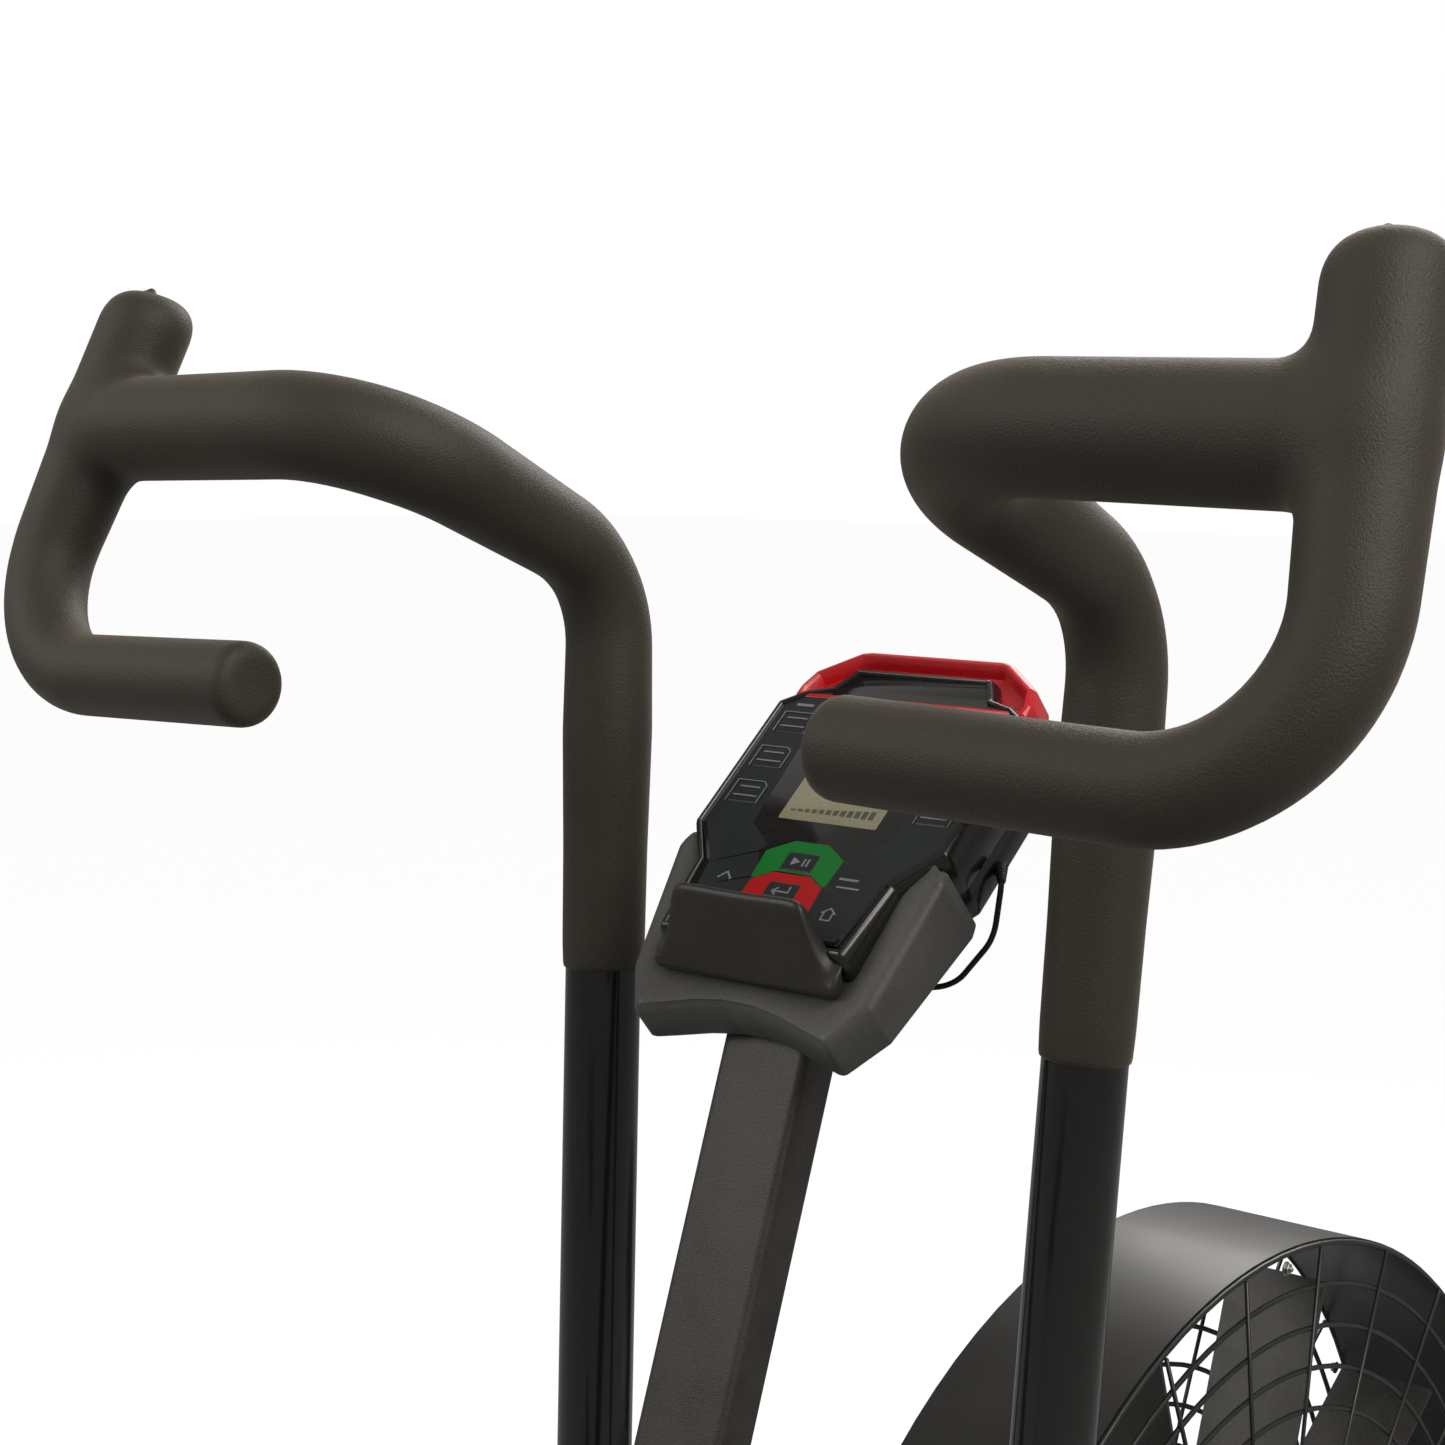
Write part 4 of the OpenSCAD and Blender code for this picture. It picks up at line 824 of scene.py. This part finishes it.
# ---- Console lead ----------------------------------------------------------
# A thin round black lead: a ribbed boot leaves the console's right side, the
# lead hangs in a short loop and enters the mast through a rubber grommet.
wire_skin = grained("pvc_lead", (0.010, 0.010, 0.010), (0.018, 0.017, 0.016), 0.36, 0.14, 900, 30, 0.03 * mm)
lead_r = 1.4 * mm
mast_door = Vector((mast_x0 + mast_slope * 0.946 + 13.4 * mm, -8 * mm, 0.946))
lead_pts = [on_face(-72, -78.6, -109), on_face(-80, -83.5, -109), on_face(-97, -79.5, -129),
            on_face(-112, -54, -152), mast_door + Vector((30, -11, 14)) * mm, mast_door]
lead_path = bent_path(lead_pts, [8 * mm, 26 * mm, 24 * mm, 14 * mm], 2 * mm)
lead = tube("console_lead_run", lead_path, lead_r, sides=14)
finish(lead, wire_skin, "frame", "wire_black", "console_lead")
boot_dir = (lead_pts[1] - lead_pts[0]).normalized()
boot_pts, boot_r = [], []
for k in range(25):
    boot_pts.append(lead_pts[0] + boot_dir * (k * 0.42 - 1.5) * mm)
    boot_r.append((3.6 - 0.07 * k - (0.75 if k % 4 == 2 else 0)) * mm)
finish(tube("lead_boot", boot_pts, boot_r, sides=18), wire_skin, "frame", "wire_black")
grommet = tube("mast_grommet", [mast_door + mast_front * h * mm for h in (-0.8, -0.2, 1.4, 2.4, 2.5)],
               [4.6 * mm, 5 * mm, 4.6 * mm, 3.2 * mm, 1.6 * mm], sides=24)
finish(grommet, wire_skin, "frame", "wire_black")

# ---- Welded frame ----------------------------------------------------------
# Box and round steel tubes welded together and powder-coated like the mast:
# base beam, two stabilizers, front post, spine, seat tube, fan and wheel plates.
frame_powder = powder
carry(frame_powder, "base_beam", "front_stabilizer", "rear_stabilizer", "front_post", "spine", "seat_tube",
      "fan_struts", "wheel_brackets", "arm_sleeve_right", "arm_sleeve_left")
rng = np.random.default_rng(4)


def weld(name, pts, r, body="frame"):
    """A rippled bead of weld along a closed run of points."""
    run = []
    for a, b in zip(pts, pts[1:] + pts[:1]):
        n = max(1, int((b - a).length / (1.6 * mm)))
        run += [a.lerp(b, k / n) for k in range(n)]
    run.append(run[0])
    radii = [r * (1 + 0.22 * math.sin(k * 1.9) + 0.08 * float(rng.standard_normal())) for k in range(len(run))]
    return finish(tube(name, run, radii, sides=10), frame_powder, body, "frame_paint")


def round_run(centre, axis, r, count=40):
    u = axis.orthogonal().normalized()
    v = axis.normalized().cross(u)
    return [centre + (u * math.cos(2 * math.pi * k / count) + v * math.sin(2 * math.pi * k / count)) * r
            for k in range(count)]


def hex_bolt(name, place, axis, size, body="frame", slot="zinc", material=None):
    """Washer, hexagon head with a chamfer and a short thread stub."""
    axis = axis.normalized()
    u = axis.orthogonal().normalized()
    v = axis.cross(u)
    rings = []
    for r, h, sides in ((size * 1.2, 0.0, 0), (size * 1.2, size * 0.16, 0), (size * 0.9, size * 0.17, 6),
                        (size, size * 0.28, 6), (size, size * 0.72, 6), (size * 0.86, size * 0.82, 6),
                        (size * 0.42, size * 0.83, 0), (size * 0.42, size * 1.2, 0), (size * 0.34, size * 1.28, 0)):
        ring = []
        for k in range(36):
            a = 2 * math.pi * k / 36
            q = r if not sides else r * math.cos(math.pi / 6) / math.cos((a % (math.pi / 3)) - math.pi / 6)
            ring.append(place + axis * h + (u * math.cos(a) + v * math.sin(a)) * q)
        rings.append(ring)
    return finish(loft(name, rings, sharp=28), material or zinc_metal, body, slot)


zinc_metal = grained("zinc_plate", (0.42, 0.43, 0.44), (0.55, 0.55, 0.53), 0.26, 0.2, 700, 60, 0.03 * mm, metal=1.0)
bright_metal = grained("bright_steel", (0.50, 0.50, 0.50), (0.62, 0.61, 0.60), 0.18, 0.16, 500, 35,
                       0.02 * mm, metal=1.0)
carry(zinc_metal, "fan_axle", "jack_pulley", "crank_pulley", "fan_hub")
carry(bright_metal, "jackshaft", "crank_axle", "pivot_shaft", "seat_post")
beam_top = 70 * mm
crank_c = Vector(joint["crank_spin"]["pos_m"])
fan_c = Vector(joint["fan_spin"]["pos_m"])
jack_c = Vector(joint["jackshaft_spin"]["pos_m"])


def flat_run(x0, x1, y0, y1, z):
    return [Vector((x0, y0, z)), Vector((x1, y0, z)), Vector((x1, y1, z)), Vector((x0, y1, z))]


weld("weld_post_foot", flat_run(pivot.x - 0.025, pivot.x + 0.025, -0.025, 0.025, beam_top), 2.6 * mm)
weld("weld_strut_foot", flat_run(fan_c.x - 0.025, fan_c.x + 0.025, -0.030, 0.030, beam_top), 2.6 * mm)
seat_lean = Vector((-0.3, 0, 1)).normalized()
seat_foot = Vector((crank_c.x + (beam_top - crank_c.z) * -0.3, 0, beam_top))
weld("weld_seat_tube_foot", [Vector((seat_foot.x + 26.5 * mm * math.cos(a), 25.3 * mm * math.sin(a), beam_top))
                             for a in np.linspace(0, 2 * math.pi, 40, endpoint=False)], 2.6 * mm)
rear_box, front_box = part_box("rear_stabilizer"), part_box("front_stabilizer")
for name, x in (("rear", rear_box[1].x), ("front", front_box[0].x)):
    weld("weld_%s_stabilizer" % name, [Vector((x, y, z)) for y, z in ((-0.030, 0.0205), (0.030, 0.0205),
                                                                      (0.030, beam_top), (-0.030, beam_top))], 2.4 * mm)
spine_dir = Vector((pivot.x - crank_c.x, 0, pivot.z - crank_c.z)).normalized()
spine_up = Vector((-spine_dir.z, 0, spine_dir.x))
mast_meet = Vector((mast_x0 + mast_slope * 0.402, 0, 0.402))
weld("weld_mast_foot", [mast_meet + spine_dir * a + Vector((0, b, 0)) + spine_up * c
                        for a, b, c in ((-0.017, -0.0255, -0.003), (0.017, -0.0255, -0.001), (0.017, 0.0255, -0.001),
                                        (-0.017, 0.0255, -0.003))], 2.4 * mm)
for side, sign in (("right", -1), ("left", 1)):
    body = "arm_" + side[0]
    sleeve_top = elbow - pole_dir * ((elbow_z - pivot.z - 22.5 * mm) / pole_dir.z)
    weld("weld_pole_" + side, [Vector((p.x, sign * -p.y, p.z)) for p in round_run(sleeve_top, pole_dir, 19.6 * mm)],
         2.4 * mm, body)
    for k, y in enumerate((111.4, 121.8)):
        weld("weld_lever_%s_%d" % (side, k + 1),
             [Vector((pivot.x + 24.4 * mm * math.cos(a), sign * y * mm, pivot.z + 24.4 * mm * math.sin(a)))
              for a in np.linspace(math.radians(200), math.radians(340), 26)]
             + [Vector((pivot.x + 24.4 * mm * math.cos(a), sign * y * mm, pivot.z + 24.4 * mm * math.sin(a)))
                for a in np.linspace(math.radians(340), math.radians(200), 26)], 1.8 * mm, body)
    hex_bolt("lever_pin_bolt_" + side, Vector((pivot.x, sign * 129.4 * mm, pivot.z - 210 * mm)), Vector((0, sign, 0)),
             8 * mm, body)

# ---- Stabilizer caps, feet and transport wheels ----------------------------
# Push-in black plastic end caps, four screw-in rubber feet and two hard rubber
# wheels on a plated bolt, so the bike rolls when its back is lifted.
cap_black = grained("textured_black_plastic", (0.013, 0.013, 0.0125), (0.026, 0.025, 0.023), 0.5, 0.16, 1500, 26,
                    0.08 * mm)
tread_black = grained("hard_black_rubber", (0.011, 0.011, 0.0105), (0.030, 0.029, 0.027), 0.62, 0.2, 1100, 34, 0.1 * mm)
carry(cap_black, "end_caps")
carry(tread_black, "levelling_feet")
stab_y = rear_box[1].y
for end, (low, high) in (("rear", rear_box), ("front", front_box)):
    for side, sign in (("right", -1), ("left", 1)):
        outline = rounded([(low.x + 1 * mm, 0.0212), (high.x - 1 * mm, 0.0212), (high.x - 1 * mm, 0.069),
                           (low.x + 1 * mm, 0.069)], 7 * mm)
        rings = []
        for d, out_y in ((0, 0.4), (0, 3.2), (2.2, 4.0), (7, 4.15)):
            ring = [Vector((p[0], sign * (stab_y + out_y * mm), p[1])) for p in
                    rounded(inward([(low.x, 0.0202), (high.x, 0.0202), (high.x, 0.07), (low.x, 0.07)], d * mm), 7 * mm)]
            rings.append(ring[::-sign])
        finish(loft("%s_cap_%s" % (end, side), rings, sharp=40), cap_black, "frame", "black_plastic")
        foot_x = (low.x + high.x) / 2
        foot_y = sign * (stab_y - 36 * mm)
        pad_rings = [round_run(Vector((foot_x, foot_y, z * mm)), Vector((0, 0, 1)), r * mm)
                     for r, z in ((20.5, 0.1), (22, 1.2), (22, 3.2), (21, 3.7), (22, 4.2), (22, 9.5), (20.5, 11.8),
                                  (12, 12.4))]
        finish(loft("%s_foot_pad_%s" % (end, side), pad_rings, sharp=35), tread_black, "frame", "tread_rubber")
for side, sign in (("right", -1), ("left", 1)):
    hub = Vector(joint["wheel_%s_spin" % side]["pos_m"])
    profile = ((5.2, -11), (9, -11), (10, -9.4), (19.5, -9.4), (21, -11), (23.4, -11), (25, -9), (25, -3), (24.3, -2.4),
               (24.3, 2.4), (25, 3), (25, 9), (23.4, 11), (21, 11), (19.5, 9.4), (10, 9.4), (9, 11), (5.2, 11))
    rings = [round_run(hub + Vector((0, y * mm, 0)), Vector((0, 1, 0)), r * mm, 56) for r, y in profile]
    roller = loft("roller_" + side, rings, sharp=32, caps=False)
    finish(roller, tread_black, "wheel_" + side[0], "tread_rubber", "wheel_" + side)
    for face_sign in (-1, 1):
        hex_bolt("wheel_nut_%s_%s" % (side, "in" if face_sign * sign < 0 else "out"),
                 hub + Vector((0, face_sign * 16.2 * mm, 0)), Vector((0, face_sign, 0)), 5 * mm)

# ---- Fan, axle and guard ---------------------------------------------------
# A steel wheel of flat blades on a plated hub turns inside a black wire cage:
# round wires for the rings, radial wires over them, and a rolled sheet rim.
blade_metal = grained("blade_metal", (0.10, 0.10, 0.098), (0.17, 0.168, 0.16), 0.36, 0.16, 640, 26,
                      0.04 * mm, metal=0.8)
carry(blade_metal, "fan_wheel")
guard_black = grained("guard_enamel", (0.012, 0.012, 0.0115), (0.024, 0.023, 0.021), 0.34, 0.12, 900, 18, 0.05 * mm,
                      coat=0.2, coat_rough=0.2)
carry(guard_black, "guard_rim")


def joined(name, pieces):
    """One object from several."""
    with bpy.context.temp_override(active_object=pieces[0], selected_editable_objects=pieces):
        bpy.ops.object.join()
    pieces[0].name = name
    pieces[0].data.name = name
    return pieces[0]


def hoop(name, centre, axis, r, wire, count=96, sides=8):
    run = round_run(centre, axis, r, count)
    return tube(name, run + [run[0]], wire, sides=sides, caps=False)


for side, sign in (("right", -1), ("left", 1)):
    wires = []
    mid = fan_c + Vector((0, sign * 54.2 * mm, 0))
    ring_count = 12
    for k in range(ring_count):
        r = 60 + (327.5 - 60) * k / (ring_count - 1)
        wires.append(hoop("ring", mid + Vector((0, sign * -1.1 * mm, 0)), Vector((0, 1, 0)), r * mm, 1.6 * mm))
    for k in range(24):
        a = math.radians(15 * k + 7.5)
        arm = Vector((math.cos(a), 0, math.sin(a)))
        wires.append(tube("rib", [mid + Vector((0, sign * 0.5 * mm, 0)) + arm * q * mm for q in (40, 180, 326)],
                          1.3 * mm, sides=8))
    eye = [round_run(fan_c + Vector((0, sign * y * mm, 0)), Vector((0, 1, 0)), r * mm, 64)
           for r, y in ((34, 52.2), (60, 52.2), (62, 53.4), (60, 55.2), (52, 55.9), (36, 55.9), (34, 54.8), (34, 52.2))]
    wires.append(loft("eye", eye, sharp=30, caps=False))
    finish(joined("wire_guard_" + side, wires), guard_black, "frame", "black_plastic", "guard_" + side)
    for k in range(6):
        a = math.radians(60 * k + 30)
        hex_bolt("rim_screw_%s_%d" % (side, k + 1), fan_c + Vector((321 * mm * math.cos(a), sign * 55.4 * mm,
                                                                    321 * mm * math.sin(a))), Vector((0, sign, 0)), 3.4 * mm)
    for k in range(10):
        a = math.radians(36 * k)
        spot = Vector((math.cos(a), 0, -math.sin(a)))
        for q in (34, 50):
            hex_bolt("blade_rivet_%s_%d_%d" % (side, k + 1, q), fan_c + spot * q * mm + Vector((0, sign * 2.4 * mm, 0)),
                     Vector((0, sign, 0)), 2.6 * mm, "fan")
for side, sign in (("right", -1), ("left", 1)):
    for k, z in enumerate((130, 240)):
        hex_bolt("guard_bolt_%s_%d" % (side, k + 1), Vector((fan_c.x, sign * 86 * mm, z * mm)), Vector((0, sign, 0)), 6 * mm)

# ---- Belts and covers ------------------------------------------------------
# Two ribbed rubber belts run in slim black shells: crank to jackshaft on the
# right, jackshaft to fan on the left. Screws hold each shell's rim.
belt_black = grained("ribbed_belt", (0.009, 0.009, 0.009), (0.020, 0.019, 0.018), 0.55, 0.18, 1400, 30, 0.1 * mm)
carry(belt_black, "belt_primary", "belt_second")
cover_black = grained("cover_moulding", (0.012, 0.0118, 0.0112), (0.022, 0.021, 0.019), 0.38, 0.14, 900, 14, 0.06 * mm,
                      coat=0.15, coat_rough=0.25)
carry(cover_black, "cover_right", "cover_left")


def cover_rib(name, c1, r1, c2, r2, y, wire):
    """A raised rim that follows the cover's outline."""
    d = (c2 - c1)
    a = math.atan2(d.z, d.x)
    f = math.acos((r1 - r2) / d.length)
    run = [c1 + Vector((math.cos(t), 0, math.sin(t))) * r1 for t in np.linspace(a + f, a + 2 * math.pi - f, 48)]
    run += [c2 + Vector((math.cos(t), 0, math.sin(t))) * r2 for t in np.linspace(a - f, a + f, 32)]
    run = [Vector((p.x, y, p.z)) for p in run]
    return finish(tube(name, run + [run[0]], wire, sides=10, caps=False), cover_black, "frame", "black_plastic")


cover_rib("cover_rim_right", crank_c, 105 * mm, jack_c, 38 * mm, -62.3 * mm, 1.4 * mm)
cover_rib("cover_rim_left", jack_c, 87 * mm, fan_c, 36 * mm, 79.3 * mm, 1.4 * mm)
for side, sign, c1, r1, c2, r2, y in (("right", -1, crank_c, 100, jack_c, 32, 62),
                                      ("left", 1, jack_c, 82, fan_c, 32, 79)):
    for k, (c, r, deg) in enumerate(((c1, r1, 115), (c1, r1, 180), (c1, r1, 245), (c2, r2, 50), (c2, r2, -50))):
        a = math.radians(deg)
        hex_bolt("cover_screw_%s_%d" % (side, k + 1), Vector((c.x + r * mm * math.cos(a), sign * y * mm,
                                                              c.z + r * mm * math.sin(a))), Vector((0, sign, 0)), 3 * mm)

# ---- Cranks, pedals and rods -----------------------------------------------
# Forged double cranks in grey paint: the inner pin drives the arm's rod, the
# outer end carries a wide moulded pedal with steel studs and amber reflectors.
forged_grey = grained("forged_grey_paint", (0.060, 0.059, 0.057), (0.105, 0.102, 0.096), 0.34, 0.16, 520, 30, 0.12 * mm,
                      metal=0.3, coat=0.2, coat_rough=0.2)
carry(forged_grey, "crank_right", "crank_left", "rod_right", "rod_left")
pedal_black = grained("pedal_moulding", (0.014, 0.014, 0.0135), (0.040, 0.038, 0.035), 0.48, 0.2, 1000, 42, 0.12 * mm)
carry(pedal_black, "pedal_right", "pedal_left")
amber = grained("amber_reflector", (0.62, 0.17, 0.01), (0.78, 0.26, 0.02), 0.12, 0.1, 300, 30, 0.12 * mm, coat=0.8,
                coat_rough=0.05)
for side, sign in (("right", -1), ("left", 1)):
    hub = Vector(joint["pedal_%s_spin" % side]["pos_m"])
    studs = []
    for x in (-41, -28, -12, 12, 28, 41):
        for y in (-42, 42) if abs(x) not in (12, 41) else (-42, -21, 0, 21, 42):
            for up in (-1, 1):
                place = hub + Vector((x, y, up * 12)) * mm
                studs.append(tube("stud", [place, place + Vector((0, 0, up * 0.9 * mm)), place + Vector((0, 0, up * 2.0 * mm)),
                                           place + Vector((0, 0, up * 2.3 * mm))],
                                  [2.4 * mm, 2.4 * mm, 1.6 * mm, 0.9 * mm], sides=10))
    finish(joined("pedal_studs_" + side, studs), zinc_metal, "pedal_" + side[0], "zinc")
    for k, x in enumerate((-1, 1)):
        outline = rounded([(-26, -6), (26, -6), (26, 6), (-26, 6)], 2.5)
        rings = [[hub + Vector((x * q, (p[0] * s) * (1 if x > 0 else -1), p[1] * s)) * mm for p in outline]
                 for q, s in ((45.6, 1.0), (46.6, 1.0), (47.2, 0.93))]
        finish(loft("pedal_reflector_%s_%d" % (side, k + 1), rings), amber, "pedal_" + side[0], "black_plastic")
    hex_bolt("crank_nut_" + side, Vector((crank_c.x, sign * 84 * mm, crank_c.z)), Vector((0, sign, 0)), 7.5 * mm,
             "cranks")
    tip_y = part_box("crank_" + side)[0 if sign < 0 else 1].y
    hex_bolt("pedal_axle_nut_" + side, Vector((hub.x, tip_y, hub.z)), Vector((0, sign, 0)), 5.5 * mm, "cranks")

# ---- Foot pegs -------------------------------------------------------------
# Fixed pegs on the ends of the pivot shaft, sleeved in ribbed rubber, where the
# feet rest when only the arms are worked.
carry(tread_black, "foot_pegs")
for side, sign in (("right", -1), ("left", 1)):
    hoops = []
    for k in range(14):
        hoops.append(hoop("ridge", Vector((pivot.x, sign * (183 + 7 * k) * mm, pivot.z)), Vector((0, 1, 0)), 20 * mm,
                          1.5 * mm, 48, 8))
    finish(joined("peg_ridges_" + side, hoops), tread_black, "frame", "tread_rubber")
    hex_bolt("peg_bolt_" + side, Vector((pivot.x, sign * 289.6 * mm, pivot.z)), Vector((0, sign, 0)), 8 * mm)

# ---- Seat post, slider and knobs -------------------------------------------
# A plated round post with a row of holes and engraved height marks, a welded
# rail and a painted slider. Sprung black knobs lock both.
carry(frame_powder, "seat_slider")
post_marks = []
for k in range(8):
    z = 0.655 + 0.011 * k
    centre = Vector((crank_c.x - 0.3 * (z - crank_c.z), 0, z))
    arc = [p for p in round_run(centre, seat_lean, 19.95 * mm, 96)]
    arc = [p for p in arc if p.y > 6 * mm and (k % 2 == 0 or p.y > 14 * mm)]
    arc.sort(key=lambda p: p.x)
    post_marks.append(tube("mark", arc, 0.35 * mm, sides=6))
finish(joined("post_marks", post_marks), wire_skin, "post", "wire_black")
knob_black = cap_black


def knob(name, node, place, body):
    """Fluted pull knob with a plated pin, its axis across the bike."""
    rings = []
    profile = ((8, 0), (8, 5.5), (9, 6.2), (15.5, 9.5), (17.4, 12.5), (17.8, 16), (17.8, 24), (17, 27.5), (14.5, 30),
               (9, 31), (3, 31.2))
    for r, h in profile:
        ring = []
        for k in range(72):
            a = 2 * math.pi * k / 72
            flute = 1 - (0.055 * max(0, math.cos(9 * a)) if 12 < h < 28 and r > 15 else 0)
            ring.append(place + Vector((math.cos(a) * r * flute, -h, math.sin(a) * r * flute)) * mm)
        rings.append(ring)
    cap_part = loft(name, rings, sharp=45)
    finish(cap_part, knob_black, body, "black_plastic", node)
    pin_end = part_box(node)[1].y
    pin = tube(name + "_pin", [place, Vector((place.x, pin_end, place.z))], 3.9 * mm, sides=24)
    finish(pin, zinc_metal, body, "zinc")


for name, node, body in (("post_pull_knob", "post_knob", "post_pin"),
                         ("slider_pull_knob", "slider_knob", "slider_pin")):
    low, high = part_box(node)
    knob(name, node, Vector(((low.x + high.x) / 2, low.y + 31 * mm, (low.z + high.z) / 2)), body)

# ---- Saddle ----------------------------------------------------------------
# A wide padded saddle: soft vinyl stretched over foam, glued round a black
# plastic pan, with piping at the edge and two sewn seams along the top.
vinyl = grained("saddle_vinyl", (0.0125, 0.012, 0.0115), (0.027, 0.026, 0.024), 0.42, 0.18, 700, 20,
                0.16 * mm, sheen=0.1)
stitch_thread = grained("stitch_thread", (0.10, 0.098, 0.09), (0.16, 0.155, 0.145), 0.7, 0.1, 2000, 60, 0.05 * mm)
carry(cap_black, "saddle_pan")
pad_low, pad_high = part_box("saddle")
pad_cx, pad_l, pad_w = (pad_low.x + pad_high.x) / 2, pad_high.x - pad_low.x, pad_high.y - pad_low.y
pad_base, pad_top = pad_low.z, pad_high.z


def saddle_half_width(q):
    """Half width along the saddle, q from 0 at the back to 1 at the nose."""
    return np.interp(q, [0, 0.015, 0.05, 0.11, 0.2, 0.3, 0.42, 0.55, 0.7, 0.85, 0.94, 0.98, 1.0],
                     [0.16, 0.55, 0.82, 0.96, 1.0, 0.93, 0.74, 0.53, 0.36, 0.25, 0.2, 0.14, 0.02]) * pad_w / 2


def saddle_outline(count=72):
    qs = (1 - np.cos(np.linspace(0, math.pi, count))) / 2
    side = [(pad_low.x + q * pad_l, saddle_half_width(q)) for q in qs]
    return [(x, -y) for x, y in side] + [(x, y) for x, y in reversed(side)]


def crown(x, y):
    """Height of the top: dished in the middle, kicked up at the back, soft at the nose."""
    q = (x - pad_low.x) / pad_l
    across = abs(y) / max(saddle_half_width(min(max(q, 0.02), 0.97)), 5 * mm)
    lift = np.interp(q, [0, 0.12, 0.4, 0.7, 1.0], [0.90, 0.97, 0.80, 0.83, 0.62])
    groove = 0.07 * math.exp(-(y / (13 * mm)) ** 2) * math.exp(-((q - 0.45) / 0.35) ** 2)
    return (lift - 0.16 * min(across, 1) ** 2 - groove) * (pad_top - pad_base)


edge = saddle_outline()
rings = []
for shrink, up in ((0.90, 0.0), (0.985, 0.03), (1.0, 0.16), (1.0, 0.42), (0.97, 0.66), (0.9, 0.84), (0.78, 0.95),
                   (0.6, 1.0), (0.4, 1.0), (0.2, 1.0), (0.05, 1.0)):
    ring = []
    for x, y in edge:
        px, py = pad_cx + (x - pad_cx) * shrink * 0.975, y * shrink * 0.965
        ring.append(Vector((px, py, pad_base + crown(px, py) * up)))
    rings.append(ring)
saddle = loft("saddle_cover", rings, sharp=180)
remesh(saddle, 5 * mm)
rest_shape = np.array([v.co for v in saddle.data.vertices])
fixed = saddle.vertex_groups.new(name="glued_edge")
fixed.add([i for i, co in enumerate(rest_shape) if co[2] < pad_base + 5 * mm], 1.0, "REPLACE")
puff = saddle.modifiers.new("stuffing", "CLOTH")
puff.settings.use_pressure = True
puff.settings.uniform_pressure_force = 4
puff.settings.quality = 5
puff.settings.vertex_group_mass = "glued_edge"
puff.settings.effector_weights.gravity = 0
puff.point_cache.frame_start = 1
puff.point_cache.frame_end = 20
for step_no in range(1, 21):
    bpy.context.scene.frame_set(step_no)
bake(saddle)
bpy.context.scene.frame_set(1)
puffed = np.array([v.co for v in saddle.data.vertices])
shift = puffed - rest_shape
size = np.linalg.norm(shift, axis=1)
shift *= np.minimum(1, 3.5 * mm / np.maximum(size, 1e-9))[:, None]
shaped = rest_shape + shift
shaped[:, 0] = np.clip(shaped[:, 0], pad_low.x - 2 * mm, pad_high.x + 2 * mm)
shaped[:, 1] = np.clip(shaped[:, 1], pad_low.y - 2 * mm, pad_high.y + 2 * mm)
shaped[:, 2] = np.clip(shaped[:, 2], pad_base, pad_top + 2 * mm)
saddle.data.vertices.foreach_set("co", shaped.ravel())
saddle.vertex_groups.clear()
even = saddle.modifiers.new("even", "SMOOTH")
even.iterations = 3
fine = saddle.modifiers.new("fine", "SUBSURF")
fine.levels = fine.render_levels = 1
bake(saddle)
saddle.data.shade_smooth()
finish(saddle, vinyl, "slider", "saddle_cover", "saddle")


def on_saddle(x, y, proud):
    """Point on the real cover above or beside x, y."""
    hit, place_on, normal, _ = saddle.ray_cast(Vector((x, y, pad_top + 0.1)), Vector((0, 0, -1)))
    return place_on + normal * proud if hit else Vector((x, y, pad_base + crown(x, y)))


for side, sign in (("right", -1), ("left", 1)):
    seam = []
    for q in np.linspace(0.07, 0.9, 60):
        x = pad_low.x + q * pad_l
        y = sign * saddle_half_width(q) * np.interp(q, [0, 0.25, 0.9], [0.52, 0.5, 0.42])
        seam.append(on_saddle(x, y, 0.1 * mm))
    finish(tube("saddle_seam_" + side, seam, 1.1 * mm, sides=10), vinyl, "slider", "saddle_cover")
    stitches = []
    for a, b in zip(seam[:-1:2], seam[1::2]):
        drop = Vector((0, sign * 3.2 * mm, 0))
        p, q = (on_saddle(v.x, v.y + drop.y, 0.35 * mm) for v in (a, a.lerp(b, 0.75)))
        stitches.append(tube("stitch", [p, q], 0.45 * mm, sides=6))
    finish(joined("saddle_stitches_" + side, stitches), stitch_thread, "slider", "saddle_cover")
piping = [Vector((pad_cx + (x - pad_cx) * 0.968, y * 0.958, pad_base + 2.2 * mm)) for x, y in edge]
finish(tube("saddle_piping", piping + [piping[0]], 1.9 * mm, sides=10, caps=False), vinyl, "slider", "saddle_cover")
for k, (x, y) in enumerate(((-45, -26), (-45, 26), (35, -12), (35, 12))):
    hex_bolt("saddle_bolt_%d" % (k + 1), Vector((pad_cx + x * mm, y * mm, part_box("saddle_pan")[0].z)), Vector((0, 0, -1)),
             4.5 * mm, "slider")
